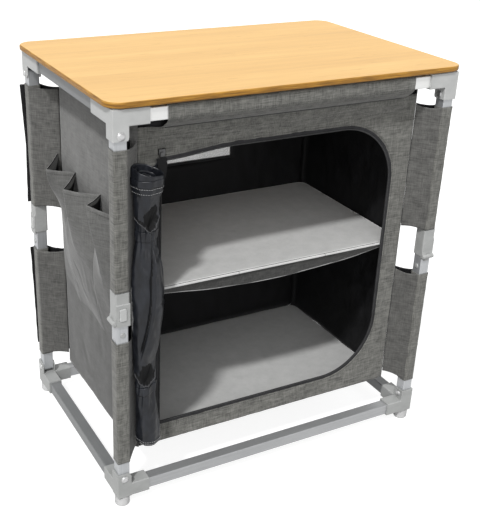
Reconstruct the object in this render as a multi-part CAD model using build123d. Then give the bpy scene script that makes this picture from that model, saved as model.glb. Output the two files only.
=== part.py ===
from build123d import *
from math import exp, sqrt
import os

# Folding camping kitchen cupboard: a square-tube frame on four legs that fold in the middle,
# with a fabric cupboard hung inside it and a lift-off table top.
# Millimetres. X right, Y back, Z up. Everything is drawn about the middle of the table and then
# moved back a little, so that the origin is on the floor under the middle of the whole, roll included.

# Overall sizes
TABLE_WIDTH = 600.0
TABLE_DEPTH = 396.0
TABLE_THICK = 9.0
TABLE_CORNER_R = 24.0
TABLE_EDGE_R = 2.5
TOTAL_HEIGHT = 661.0

# Frame
LEG_INSET_X = 19.5
LEG_INSET_Y = 16.0
TUBE = 19.0
TUBE_WALL = 1.3
TUBE_CORNER_R = 1.6
BOTTOM_RAIL_Z = 30.5
TABLE_SEAT_HEIGHT = 1.5
CONNECTOR = 24.0
CONNECTOR_EDGE_R = 1.2
SOCKET_FLOOR = 2.0
ARM_X = 54.0
ARM_Y_BOTTOM = 58.0
ARM_Y_TOP = 78.0
CLEVIS_GAP = 0.25
BOTTOM_PIVOT_RISE = 22.5
TOP_PIVOT_DROP = 24.5
BOTTOM_EAR_REACH = 9.5
TOP_EAR_REACH = 7.0
EAR_CORNER_R = 5.0

# Rivets and pins
RIVET_R = 2.5
RIVET_HEAD_R = 4.2
RIVET_HEAD_H = 1.5
RUNNING_GAP = 0.06

# Middle hinge
HINGE_OFFSET = 12.0
KNUCKLE_R = 4.0
KNUCKLE_GAP = 0.25
CENTRE_KNUCKLE = 8.0
PIN_R = 1.5
COLLAR_WALL = 1.7
COLLAR_HEIGHT = 48.0
COLLAR_SPLIT_GAP = 0.3
TENON_HEIGHT = 8.0
TENON_HALF_Y = 6.8
TENON_CLEARANCE = 0.4
CAVITY_HEIGHT = 12.0
PLUG_LENGTH = 30.0
FLANGE_THICK = 3.0
INSERT_RIVET_DROP = 21.0
LATCH_PAD_THICK = 1.2
LATCH_PAD_HEIGHT = 31.0
LATCH_APRON = 5.0
BUTTON_WIDTH = 11.0
BUTTON_LOW = 4.0
BUTTON_HIGH = 24.0
BUTTON_PROUD = 1.6
BUTTON_GAP = 0.35
BUTTON_TRAVEL = 1.5
LUG_RISE = 9.0

# Feet
FOOT_R = 12.0
FOOT_NECK_R = 10.6
FOOT_NECK_H = 2.5
FOOT_EDGE_R = 3.0
FOOT_STEM_R = 5.5
FOOT_STEM_RISE = 8.0

# Table top seat and fabric cupboard
BOX_SIDE_INSET = 30.5
BOX_FRONT_INSET = 22.0
BOX_BACK_INSET = 34.0
BOX_BOTTOM_Z = 80.0
BOX_TOP_DROP = 11.0
WALL = 2.0
WEB_THICK = 1.0
WEB_INSET = 2.0
CORNER_CUT = 8.0
PANEL_TOP_DROP = 40.0
OPEN_LEFT_MARGIN = 38.0
OPEN_RIGHT_MARGIN = 40.0
OPEN_LOW_MARGIN = 34.0
OPEN_HIGH_MARGIN = 38.0
OPEN_R = 104.0
MESH_HALF_WIDTH = 80.0
MESH_TOP_MARGIN = 52.0
MESH_HEIGHT = 124.0
MESH_THICK = 0.8

# Sleeves and webs on the legs
SLEEVE_GAP = 0.3
SLEEVE_THICK = 0.8
SLEEVE_BELOW_TOP_PIVOT = 20.0
SLEEVE_ABOVE_BOTTOM_PIVOT = 31.0
SLEEVE_BELOW_HINGE = 34.5
SLEEVE_ABOVE_COLLAR = 1.0
WEB_SHORT_OF_SLEEVE = 2.0
UPPER_WEB_SEAM_DROP = 0.5
LOWER_WEB_SEAM_RISE = 6.0
BOTTOM_WEB_SEAM_RISE = 14.0

# Bands over the front and back top rails
BAND_SIDE_MARGIN = 39.0
BAND_THICK = 1.2
BAND_GAP = 0.3

# Shelves
SHELF_ABOVE_HINGE = 25.0
SHELF_THICK = 4.0
SHELF_SIDE_GAP = 2.5
SHELF_END_GAP = 2.0
SHELF_CORNER_R = 14.0
SHELF_EDGE_HEIGHT = 7.0
SHELF_EDGE_THICK = 2.5
SHELF_EDGE_DROP = 0.8
VALANCE_HEIGHT = 23.0
VALANCE_THICK = 1.0
FLOOR_BOARD_THICK = 3.0
SOFT_GAP = 0.3

# Rolled door, its ties and the zip slider
ROLL_BESIDE_OPENING = 27.0
ROLL_BELOW_OPENING = 3.0
ROLL_SHORT_OF_OPENING = 12.0
ROLL_R = 19.5
ROLL_WAIST_R = 13.5
ROLL_WAIST_SPREAD = 34.0
ROLL_STATIONS = 30
ROLL_LOW_WAIST_RISE = 113.0
ROLL_HIGH_WAIST_DROP = 101.0
ROLL_STRAP_DROP = 22.0
ROLL_STRAP_HEIGHT = 20.0
ROLL_HOLLOW_R = 15.0
ROLL_HOLLOW_DEPTH = 22.0
ROLL_CLEAR = 10.2
FLAP_THICK = 1.2
FLAP_SINK = 4.0
TIE_HEIGHT = 6.0
TIE_THICK = 1.2
TIE_SLACK = 0.6
SLIDER_BESIDE_OPENING = 6.0
SLIDER_LENGTH = 11.0
SLIDER_WIDTH = 9.0
SLIDER_THICK = 2.6
SLIDER_CLEAR = 0.4
PULL_LENGTH = 24.0
PULL_WIDTH = 6.5
PULL_THICK = 1.4

# Side pockets on the left panel
POCKET_FOLDS = (13.0, 93.0, 200.0, 284.0)
POCKET_PEAKS = (76.0, 158.0, 246.0)
POCKET_MOUTH_DROP = 131.0
POCKET_FOOT_RISE = 150.0
POCKET_DEPTH = 42.0
POCKET_FOOT_DEPTH = 6.0
POCKET_WALL = 1.6

# Worked out from the sizes above
LEG_X = TABLE_WIDTH / 2 - LEG_INSET_X
LEG_Y = TABLE_DEPTH / 2 - LEG_INSET_Y
TABLE_UNDER_Z = TOTAL_HEIGHT - TABLE_THICK
HALF_BLOCK = CONNECTOR / 2
TOP_RAIL_Z = TABLE_UNDER_Z - TABLE_SEAT_HEIGHT - HALF_BLOCK
BOTTOM_PIVOT_Z = BOTTOM_RAIL_Z + BOTTOM_PIVOT_RISE
TOP_PIVOT_Z = TOP_RAIL_Z - TOP_PIVOT_DROP
HINGE_Z = (BOTTOM_PIVOT_Z + TOP_PIVOT_Z) / 2
HALF_TUBE = TUBE / 2
BORE_HALF = HALF_TUBE - TUBE_WALL
BORE_CORNER_R = TUBE_CORNER_R - TUBE_WALL / 2
END_R = HALF_TUBE + 0.1
EAR_IN = HALF_TUBE + CLEVIS_GAP
COLLAR_HALF = HALF_TUBE + COLLAR_WALL
SLEEVE_IN = HALF_TUBE + SLEEVE_GAP
SLEEVE_OUT = SLEEVE_IN + SLEEVE_THICK
UPPER_SLEEVE_TOP_Z = TOP_PIVOT_Z - SLEEVE_BELOW_TOP_PIVOT
UPPER_SLEEVE_BOTTOM_Z = HINGE_Z + COLLAR_HEIGHT + SLEEVE_ABOVE_COLLAR
LOWER_SLEEVE_TOP_Z = HINGE_Z - SLEEVE_BELOW_HINGE
LOWER_SLEEVE_BOTTOM_Z = BOTTOM_PIVOT_Z + SLEEVE_ABOVE_BOTTOM_PIVOT
WEB_TOP_Z = UPPER_SLEEVE_TOP_Z - WEB_SHORT_OF_SLEEVE
UPPER_WEB_LEG_Z = UPPER_SLEEVE_BOTTOM_Z + WEB_SHORT_OF_SLEEVE
UPPER_WEB_SEAM_Z = UPPER_WEB_LEG_Z - UPPER_WEB_SEAM_DROP
LOWER_WEB_LEG_Z = LOWER_SLEEVE_TOP_Z - WEB_SHORT_OF_SLEEVE
LOWER_WEB_SEAM_Z = LOWER_WEB_LEG_Z + LOWER_WEB_SEAM_RISE
WEB_BOTTOM_LEG_Z = LOWER_SLEEVE_BOTTOM_Z + WEB_SHORT_OF_SLEEVE
WEB_BOTTOM_SEAM_Z = WEB_BOTTOM_LEG_Z + BOTTOM_WEB_SEAM_RISE
BOX_HALF_WIDTH = LEG_X - BOX_SIDE_INSET
BOX_FRONT_Y = -LEG_Y + BOX_FRONT_INSET
BOX_BACK_Y = LEG_Y - BOX_BACK_INSET
BOX_TOP_Z = TABLE_UNDER_Z - BOX_TOP_DROP
PANEL_TOP_Z = TABLE_UNDER_Z - PANEL_TOP_DROP
OPEN_LEFT_X = -BOX_HALF_WIDTH + OPEN_LEFT_MARGIN
OPEN_RIGHT_X = BOX_HALF_WIDTH - OPEN_RIGHT_MARGIN
OPEN_LOW_Z = BOX_BOTTOM_Z + OPEN_LOW_MARGIN
OPEN_HIGH_Z = PANEL_TOP_Z - OPEN_HIGH_MARGIN
MESH_HIGH_Z = PANEL_TOP_Z - MESH_TOP_MARGIN
MESH_LOW_Z = MESH_HIGH_Z - MESH_HEIGHT
BAND_HALF_WIDTH = BOX_HALF_WIDTH - BAND_SIDE_MARGIN
SHELF_TOP_Z = HINGE_Z + SHELF_ABOVE_HINGE
ROLL_X = OPEN_LEFT_X - ROLL_BESIDE_OPENING
ROLL_LOW_Z = OPEN_LOW_Z - ROLL_BELOW_OPENING
ROLL_HIGH_Z = OPEN_HIGH_Z - ROLL_SHORT_OF_OPENING
ROLL_WAISTS_Z = (ROLL_LOW_Z + ROLL_LOW_WAIST_RISE, ROLL_HIGH_Z - ROLL_HIGH_WAIST_DROP)
ROLL_STRAP_Z = ROLL_HIGH_Z - ROLL_STRAP_DROP
SLIDER_X = OPEN_LEFT_X + SLIDER_BESIDE_OPENING
POCKET_MOUTH_Z = PANEL_TOP_Z - POCKET_MOUTH_DROP
POCKET_FOOT_Z = BOX_BOTTOM_Z + POCKET_FOOT_RISE

CORNERS = {
    "front_left": (-LEG_X, -LEG_Y, 0),
    "front_right": (LEG_X, -LEG_Y, 90),
    "back_right": (LEG_X, LEG_Y, 180),
    "back_left": (-LEG_X, LEG_Y, 270),
}


def block(x, y, z):
    """A box from three (low, high) pairs."""
    size = (x[1] - x[0], y[1] - y[0], z[1] - z[0])
    middle = ((x[0] + x[1]) / 2, (y[0] + y[1]) / 2, (z[0] + z[1]) / 2)
    return Pos(*middle) * Box(*size)


def rod(radius, y_low, y_high, x=0.0, z=0.0):
    """A cylinder lying along Y."""
    length = y_high - y_low
    return Pos(x, (y_low + y_high) / 2, z) * Rot(90, 0, 0) * Cylinder(radius, length)


def square_bar(half, corner_r, z_low, z_high):
    """A square bar along Z with rounded corners."""
    profile = RectangleRounded(2 * half, 2 * half, corner_r)
    return Pos(0, 0, z_low) * extrude(profile, z_high - z_low)


def square_tube(z_low, z_high):
    outer = square_bar(HALF_TUBE, TUBE_CORNER_R, z_low, z_high)
    inner = square_bar(BORE_HALF, BORE_CORNER_R, z_low - 1, z_high + 1)
    return outer - inner


def place(shape, corner):
    """Turn a corner piece from the front left pattern to its own corner."""
    x, y, turn = CORNERS[corner]
    return Pos(x, y, 0) * Rot(0, 0, turn) * shape


def arm_lengths(corner, along_y):
    """Arm lengths along the local X and Y of a connector, from its outer faces."""
    turned = CORNERS[corner][2] in (90, 270)
    return (along_y, ARM_X) if turned else (ARM_X, along_y)


def rivet(y_face, x=0.0, z=0.0):
    """A through rivet along Y with a domed head on each outer face."""
    shank = rod(RIVET_R, -y_face, y_face, x, z)
    heads = []
    for side in (-1, 1):
        head = rod(RIVET_HEAD_R, 0, RIVET_HEAD_H)
        rim = head.edges().sort_by(Axis.Y)[-1]
        head = fillet(rim, RIVET_HEAD_H * 0.8)
        turn = 0 if side > 0 else 180
        heads.append(Pos(x, side * y_face, z) * Rot(0, 0, turn) * head)
    return shank + heads[0] + heads[1]


def arm(reach):
    """A socket arm along +X with its tube pocket left for the caller to cut."""
    body = Rot(0, 90, 0) * square_bar(HALF_BLOCK, CONNECTOR_EDGE_R * 1.5, 0, reach)
    pocket = block((SOCKET_FLOOR, reach + 1), (-HALF_TUBE, HALF_TUBE), (-HALF_TUBE, HALF_TUBE))
    return body, pocket


def connector(reach_x, reach_y, pivot_rise, ear_reach):
    """A corner connector about its rail centre, with the leg clevis pointing up."""
    ear_top = pivot_rise + ear_reach
    body = square_bar(HALF_BLOCK, CONNECTOR_EDGE_R, -HALF_BLOCK, ear_top)
    arm_x, pocket_x = arm(reach_x - HALF_BLOCK)
    arm_y, pocket_y = arm(reach_y - HALF_BLOCK)
    body = body + arm_x + Rot(0, 0, 90) * arm_y
    body = body - Pos(HALF_BLOCK, 0, 0) * pocket_x
    body = body - Rot(0, 0, 90) * Pos(HALF_BLOCK, 0, 0) * pocket_y
    slot = block((-EAR_IN, HALF_BLOCK + 1), (-EAR_IN, EAR_IN), (HALF_BLOCK, ear_top + 1))
    body = body - slot
    shoulder = block((0, HALF_BLOCK + 1), (-HALF_BLOCK - 1, HALF_BLOCK + 1), (pivot_rise, ear_top + 1))
    shoulder = shoulder - rod(HALF_BLOCK, -HALF_BLOCK - 1, HALF_BLOCK + 1, 0, pivot_rise)
    body = body - shoulder
    clear = rod(END_R + CLEVIS_GAP, -EAR_IN, EAR_IN, 0, pivot_rise)
    body = body - clear
    return body - rod(RIVET_R, -HALF_BLOCK - 1, HALF_BLOCK + 1, 0, pivot_rise)


def bottom_connector(corner):
    reach_x, reach_y = arm_lengths(corner, ARM_Y_BOTTOM)
    body = connector(reach_x, reach_y, BOTTOM_PIVOT_RISE, BOTTOM_EAR_REACH)
    stem_hole = Pos(0, 0, -HALF_BLOCK + FOOT_STEM_RISE / 2) * Cylinder(FOOT_STEM_R, FOOT_STEM_RISE)
    body = body - stem_hole
    return place(Pos(0, 0, BOTTOM_RAIL_Z) * body, corner)


def top_connector(corner):
    reach_x, reach_y = arm_lengths(corner, ARM_Y_TOP)
    body = connector(reach_x, reach_y, TOP_PIVOT_DROP, TOP_EAR_REACH)
    body = mirror(body, Plane.XY)
    seat = Pos(0, 0, HALF_BLOCK) * extrude(RectangleRounded(TUBE, TUBE, EAR_CORNER_R), TABLE_SEAT_HEIGHT)
    return place(Pos(0, 0, TOP_RAIL_Z) * (body + seat), corner)


def rail(corner_a, corner_b, z):
    """A rail tube from socket floor to socket floor between two corners."""
    xa, ya = CORNERS[corner_a][:2]
    xb, yb = CORNERS[corner_b][:2]
    inset = HALF_BLOCK + SOCKET_FLOOR
    length = sqrt((xb - xa) ** 2 + (yb - ya) ** 2) - 2 * inset
    tube = Rot(0, 90, 0) * square_tube(-length / 2, length / 2)
    turn = 90 if xa == xb else 0
    return Pos((xa + xb) / 2, (ya + yb) / 2, z) * Rot(0, 0, turn) * tube


def leg_end(tube, pivot_z, side):
    """Round a tube's end about its pivot and drill the pivot hole. side is the end's direction."""
    far = 2 * TUBE
    low, high = sorted((pivot_z, pivot_z + side * far))
    square_end = block((-TUBE, TUBE), (-TUBE, TUBE), (low, high))
    keep = rod(END_R, -TUBE, TUBE, 0, pivot_z)
    tube = tube - (square_end - keep)
    return tube - rod(RIVET_R + RUNNING_GAP, -TUBE, TUBE, 0, pivot_z)


def lower_leg(corner):
    top = HINGE_Z - COLLAR_SPLIT_GAP / 2 - FLANGE_THICK
    tube = square_tube(BOTTOM_PIVOT_Z - END_R, top)
    tube = leg_end(tube, BOTTOM_PIVOT_Z, -1)
    tube = tube - rod(RIVET_R, -TUBE, TUBE, 0, HINGE_Z - INSERT_RIVET_DROP)
    return place(tube, corner)


def upper_leg(corner):
    tube = square_tube(HINGE_Z + CAVITY_HEIGHT, TOP_PIVOT_Z + END_R)
    return place(leg_end(tube, TOP_PIVOT_Z, 1), corner)


def lug(side):
    """The wedge between a knuckle and its leg, above (side 1) or below the hinge line."""
    points = [
        (-HINGE_OFFSET, side * KNUCKLE_R * 0.99),
        (-COLLAR_HALF, side * LUG_RISE),
        (-HALF_TUBE, side * LUG_RISE),
        (-HALF_TUBE, side * COLLAR_SPLIT_GAP / 2),
        (-HINGE_OFFSET, side * COLLAR_SPLIT_GAP / 2),
    ]
    return make_face(Plane.XZ * Polyline(*points, close=True))


def along_y(face, y_low, y_high):
    """A face on the XZ plane made solid between two Y values."""
    solid = extrude(face, (y_high - y_low) / 2, both=True)
    return Pos(0, (y_low + y_high) / 2, 0) * solid


def hinge_insert(corner):
    """The plug in the lower leg with its flange, tenon and centre knuckle, and the pin and rivet."""
    flange_top = -COLLAR_SPLIT_GAP / 2
    plug = square_bar(BORE_HALF, BORE_CORNER_R, -PLUG_LENGTH, flange_top)
    flange = square_bar(HALF_TUBE, TUBE_CORNER_R, flange_top - FLANGE_THICK, flange_top)
    swing = HINGE_OFFSET + HALF_TUBE - TENON_CLEARANCE
    tenon = rod(swing, -TENON_HALF_Y, TENON_HALF_Y, -HINGE_OFFSET, 0)
    window = block((-HALF_TUBE + KNUCKLE_R, HALF_TUBE), (-TUBE, TUBE), (flange_top - 1, TENON_HEIGHT))
    body = plug + flange + (tenon & window)
    half = CENTRE_KNUCKLE / 2
    body = body + along_y(lug(-1), -half, half)
    body = body + rod(KNUCKLE_R, -half, half, -HINGE_OFFSET, 0)
    outer = COLLAR_HALF + 1
    for low, high in ((-outer, -half), (half, outer)):
        body = body - rod(KNUCKLE_R + KNUCKLE_GAP, low, high, -HINGE_OFFSET, 0)
    rivet_z = -INSERT_RIVET_DROP
    body = body - rod(PIN_R, -TUBE, TUBE, -HINGE_OFFSET, 0) - rod(RIVET_R, -TUBE, TUBE, 0, rivet_z)
    pin = rod(PIN_R, -COLLAR_HALF - 1, COLLAR_HALF + 1, -HINGE_OFFSET, 0)
    fixing = rivet(HALF_TUBE, 0, rivet_z)
    return [place(Pos(0, 0, HINGE_Z) * piece, corner) for piece in (body, pin, fixing)]


def button_face(grow):
    """The latch button's outline on the XZ plane, rounded at its upper corners."""
    half = BUTTON_WIDTH / 2 + grow
    low = BUTTON_LOW - grow
    high = BUTTON_HIGH + grow
    sketch = Pos(0, (low + high) / 2) * RectangleRounded(2 * half, high - low, half * 0.45)
    return Plane.XZ * sketch


def hinge_collar(corner):
    """The collar on the upper leg with two outer knuckles and the raised, windowed latch pad."""
    low = COLLAR_SPLIT_GAP / 2
    body = square_bar(COLLAR_HALF, TUBE_CORNER_R + COLLAR_WALL / 2, low, COLLAR_HEIGHT)
    pad_y = -COLLAR_HALF - LATCH_PAD_THICK
    pad_wide = (-COLLAR_HALF + 1, COLLAR_HALF)
    pad = block(pad_wide, (pad_y, -COLLAR_HALF + 1), (-LATCH_APRON, LATCH_PAD_HEIGHT))
    slope = pad.edges().filter_by(Axis.X).sort_by(Axis.Y)[:2].sort_by(Axis.Z)[-1]
    pad = chamfer(slope, LATCH_PAD_THICK * 0.9)
    apron_room = block((-TUBE, TUBE), (-COLLAR_HALF, TUBE), (-LATCH_APRON - 1, low))
    body = body + (pad - apron_room)
    body = body - square_bar(HALF_TUBE, TUBE_CORNER_R, low - 1, COLLAR_HEIGHT + 1)
    half = CENTRE_KNUCKLE / 2
    for near, far in ((-COLLAR_HALF, -half - KNUCKLE_GAP), (half + KNUCKLE_GAP, COLLAR_HALF)):
        body = body + along_y(lug(1), near, far)
        body = body + rod(KNUCKLE_R, near, far, -HINGE_OFFSET, 0)
    body = body - rod(KNUCKLE_R + KNUCKLE_GAP, -half - KNUCKLE_GAP, half + KNUCKLE_GAP, -HINGE_OFFSET, 0)
    body = body - rod(PIN_R + RUNNING_GAP, -TUBE, TUBE, -HINGE_OFFSET, 0)
    window = along_y(button_face(BUTTON_GAP), pad_y - 1, -HALF_TUBE + 0.5)
    return place(Pos(0, 0, HINGE_Z) * (body - window), corner)


def latch_button(corner):
    face_y = -COLLAR_HALF - LATCH_PAD_THICK - BUTTON_PROUD
    body = along_y(button_face(0), face_y, -HALF_TUBE - BUTTON_TRAVEL - RUNNING_GAP)
    rim = body.faces().sort_by(Axis.Y)[0].edges()
    body = chamfer(rim, BUTTON_PROUD * 0.5)
    return place(Pos(0, 0, HINGE_Z) * body, corner)


def leg_sleeve(corner, z_low, z_high):
    outer = square_bar(SLEEVE_OUT, TUBE_CORNER_R + SLEEVE_THICK, z_low, z_high)
    inner = square_bar(SLEEVE_IN, TUBE_CORNER_R, z_low - 1, z_high + 1)
    return place(outer - inner, corner)


def foot(corner):
    stem_top = FOOT_STEM_RISE
    low = -(BOTTOM_RAIL_Z - HALF_BLOCK)
    profile = Polyline(
        (0, low), (FOOT_R, low), (FOOT_R, -FOOT_NECK_H), (FOOT_NECK_R, -FOOT_NECK_H),
        (FOOT_NECK_R, 0), (FOOT_STEM_R, 0), (FOOT_STEM_R, stem_top), (0, stem_top), close=True,
    )
    face = make_face(profile)
    rim = face.vertices().sort_by(Axis.Y)[:2].sort_by(Axis.X)[-1]
    face = fillet(rim, FOOT_EDGE_R)
    body = revolve(Plane.XZ * face, Axis.Z)
    return place(Pos(0, 0, BOTTOM_RAIL_Z - HALF_BLOCK) * body, corner)


def table_top():
    outline = RectangleRounded(TABLE_WIDTH, TABLE_DEPTH, TABLE_CORNER_R)
    board = Pos(0, 0, TABLE_UNDER_Z) * extrude(outline, TABLE_THICK)
    by_height = board.faces().sort_by(Axis.Z)
    return fillet(by_height[0].edges() + by_height[-1].edges(), TABLE_EDGE_R)


def door_opening():
    """The door opening's outline on the XZ plane: square at the hinge side, round at the other."""
    right = OPEN_RIGHT_X - OPEN_R
    top = Line((OPEN_LEFT_X, OPEN_HIGH_Z), (right, OPEN_HIGH_Z))
    upper_arc = RadiusArc((right, OPEN_HIGH_Z), (OPEN_RIGHT_X, OPEN_HIGH_Z - OPEN_R), OPEN_R)
    side = Line((OPEN_RIGHT_X, OPEN_HIGH_Z - OPEN_R), (OPEN_RIGHT_X, OPEN_LOW_Z + OPEN_R))
    lower_arc = RadiusArc((OPEN_RIGHT_X, OPEN_LOW_Z + OPEN_R), (right, OPEN_LOW_Z), OPEN_R)
    bottom = Line((right, OPEN_LOW_Z), (OPEN_LEFT_X, OPEN_LOW_Z))
    hinge = Line((OPEN_LEFT_X, OPEN_LOW_Z), (OPEN_LEFT_X, OPEN_HIGH_Z))
    return make_face(Plane.XZ * Curve([top, upper_arc, side, lower_arc, bottom, hinge]))


def front_panel():
    half = BOX_HALF_WIDTH - CORNER_CUT
    panel = block((-half, half), (BOX_FRONT_Y, BOX_FRONT_Y + WALL), (BOX_BOTTOM_Z, PANEL_TOP_Z))
    return panel - along_y(door_opening(), BOX_FRONT_Y - 1, BOX_FRONT_Y + WALL + 1)


def back_panel():
    half = BOX_HALF_WIDTH - CORNER_CUT
    panel = block((-half, half), (BOX_BACK_Y - WALL, BOX_BACK_Y), (BOX_BOTTOM_Z, PANEL_TOP_Z))
    wide = (-MESH_HALF_WIDTH, MESH_HALF_WIDTH)
    window = block(wide, (BOX_BACK_Y - WALL - 1, BOX_BACK_Y + 1), (MESH_LOW_Z, MESH_HIGH_Z))
    middle = BOX_BACK_Y - WALL / 2
    mesh = block(wide, (middle - MESH_THICK / 2, middle + MESH_THICK / 2), (MESH_LOW_Z, MESH_HIGH_Z))
    return [panel - window, mesh]


def web(seam, leg):
    """A corner web: a flat sheet from the seam to the leg, each end given as x, y, low z, high z."""
    x0, y0, low0, high0 = seam
    x1, y1, low1, high1 = leg
    length = sqrt((x1 - x0) ** 2 + (y1 - y0) ** 2)
    outline = Polyline((0, low0), (length, low1), (length, high1), (0, high0), close=True)
    sheet = extrude(make_face(Plane.XZ * outline), WEB_THICK / 2, both=True)
    along = Plane(origin=(x0, y0, 0), x_dir=(x1 - x0, y1 - y0, 0), z_dir=(0, 0, 1))
    return along * sheet


def corner_webs(side_x, side_y):
    """The four webs of one corner, from the cupboard's edge to the leg sleeve."""
    box_y = -BOX_FRONT_Y if side_y < 0 else BOX_BACK_Y
    turned = BOX_HALF_WIDTH - CORNER_CUT
    reach = SLEEVE_OUT + SOFT_GAP + WEB_THICK / 2
    near_panel = ((turned + WEB_INSET, box_y + WEB_THICK), (LEG_X - reach, LEG_Y + HALF_TUBE))
    side_seam = (BOX_HALF_WIDTH + WEB_THICK, box_y - CORNER_CUT + WEB_INSET)
    near_side = (side_seam, (LEG_X + HALF_TUBE, LEG_Y - reach))
    webs = []
    for seam, leg in (near_panel, near_side):
        at_seam = (side_x * seam[0], side_y * seam[1])
        at_leg = (side_x * leg[0], side_y * leg[1])
        webs.append(web(at_seam + (UPPER_WEB_SEAM_Z, WEB_TOP_Z), at_leg + (UPPER_WEB_LEG_Z, WEB_TOP_Z)))
        webs.append(web(
            at_seam + (WEB_BOTTOM_SEAM_Z, LOWER_WEB_SEAM_Z), at_leg + (WEB_BOTTOM_LEG_Z, LOWER_WEB_LEG_Z)
        ))
    return webs


def side_panel(side_x):
    """A side wall turned in at both edges to meet the front and the back, with its corner webs."""
    turned = BOX_HALF_WIDTH - CORNER_CUT + SOFT_GAP
    front = BOX_FRONT_Y
    back = BOX_BACK_Y
    inside = BOX_HALF_WIDTH - WALL
    bend = CORNER_CUT + WALL / 2
    outer = [
        (turned, front), (BOX_HALF_WIDTH, front + CORNER_CUT), (BOX_HALF_WIDTH, back - CORNER_CUT),
        (turned, back),
    ]
    inner = [(turned, back - WALL), (inside, back - bend), (inside, front + bend), (turned, front + WALL)]
    points = [(side_x * x, y) for x, y in outer + inner]
    plan = make_face(Polyline(*points, close=True))
    wall = Pos(0, 0, BOX_BOTTOM_Z) * extrude(plan, BOX_TOP_Z - BOX_BOTTOM_Z)
    return [wall] + corner_webs(side_x, -1) + corner_webs(side_x, 1)


def floor_panel():
    half = BOX_HALF_WIDTH - WALL - SOFT_GAP
    deep = (BOX_FRONT_Y + WALL + SOFT_GAP, BOX_BACK_Y - WALL - SOFT_GAP)
    sheet = block((-half, half), deep, (BOX_BOTTOM_Z, BOX_BOTTOM_Z + WALL))
    return chamfer(sheet.edges().filter_by(Axis.Z), CORNER_CUT)


def shelf_board(top_z, thick, front_y):
    half = BOX_HALF_WIDTH - WALL - SHELF_SIDE_GAP
    back = BOX_BACK_Y - WALL - SHELF_END_GAP
    outline = RectangleRounded(2 * half, back - front_y, SHELF_CORNER_R)
    return Pos(0, (back + front_y) / 2, top_z - thick) * extrude(outline, thick)


def bottom_shelf():
    top = BOX_BOTTOM_Z + WALL + FLOOR_BOARD_THICK
    return shelf_board(top, FLOOR_BOARD_THICK, BOX_FRONT_Y + WALL + SHELF_END_GAP)


def middle_shelf():
    """The board, its light front edge strip and the valance hung below it."""
    edge_front = BOX_FRONT_Y + WALL + SOFT_GAP
    edge_back = edge_front + SHELF_EDGE_THICK
    board = shelf_board(SHELF_TOP_Z, SHELF_THICK, edge_back)
    half = BOX_HALF_WIDTH - WALL - SHELF_SIDE_GAP - SHELF_CORNER_R
    edge_top = SHELF_TOP_Z - SHELF_EDGE_DROP
    edge_low = edge_top - SHELF_EDGE_HEIGHT
    edge = block((-half, half), (edge_front, edge_back), (edge_low, edge_top))
    valance = block(
        (-half, half), (edge_front, edge_front + VALANCE_THICK), (edge_low - VALANCE_HEIGHT, edge_low)
    )
    return [board, edge, valance]


def top_band(side_y):
    """A fabric band round one top rail, with the skirt that reaches down to the cupboard."""
    inner = HALF_TUBE + BAND_GAP
    outer = inner + BAND_THICK
    wide = (-BAND_HALF_WIDTH, BAND_HALF_WIDTH)
    wrap = block(wide, (-outer, outer), (-outer, outer)) - block(wide, (-inner, inner), (-inner, inner))
    wrap = Pos(0, LEG_Y * side_y, TOP_RAIL_Z) * wrap
    wall_y = BOX_FRONT_Y if side_y < 0 else BOX_BACK_Y
    start_y = LEG_Y * side_y - side_y * inner
    start_z = TOP_RAIL_Z - inner
    end_y = wall_y
    end_z = PANEL_TOP_Z + SOFT_GAP
    skirt = Polyline(
        (start_y, start_z), (end_y, end_z), (end_y - side_y * BAND_THICK, end_z),
        (start_y - side_y * BAND_THICK, start_z + BAND_THICK), close=True,
    )
    sheet = extrude(make_face(Plane.YZ * skirt), BAND_HALF_WIDTH, both=True)
    return wrap + sheet


def roll_radius(z):
    """The roll's radius at a height: full between the ties and drawn in at each one."""
    pinch = sum(exp(-(((z - waist) / ROLL_WAIST_SPREAD) ** 2)) for waist in ROLL_WAISTS_Z)
    return ROLL_R - (ROLL_R - ROLL_WAIST_R) * pinch


def tie_bands():
    """Each tie's middle height, its height and its inner radius."""
    bands = [(z, TIE_HEIGHT, ROLL_WAIST_R + TIE_SLACK) for z in ROLL_WAISTS_Z]
    bands.append((ROLL_STRAP_Z, ROLL_STRAP_HEIGHT, ROLL_R + TIE_SLACK))
    return bands


def door_flap():
    """The part of the door between its seam at the opening's left edge and the roll."""
    seam_x = OPEN_LEFT_X - SOFT_GAP
    seam_y = BOX_FRONT_Y - SOFT_GAP
    sunk_x = ROLL_X + ROLL_WAIST_R - FLAP_SINK
    plan = Polyline(
        (seam_x, seam_y), (seam_x, seam_y - FLAP_THICK), (sunk_x, roll_y() - FLAP_THICK), (sunk_x, roll_y()),
        close=True,
    )
    height = ROLL_HIGH_Z - ROLL_HOLLOW_DEPTH - OPEN_LOW_Z
    flap = Pos(0, 0, OPEN_LOW_Z) * extrude(make_face(plan), height)
    for z, band_height, inner in tie_bands():
        slot = Cylinder(inner + TIE_THICK + SOFT_GAP, band_height + 2 * SOFT_GAP)
        slot = slot - Cylinder(inner - SOFT_GAP, band_height + 2 * SOFT_GAP)
        flap = flap - Pos(ROLL_X, roll_y(), z) * slot
    return flap


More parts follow.
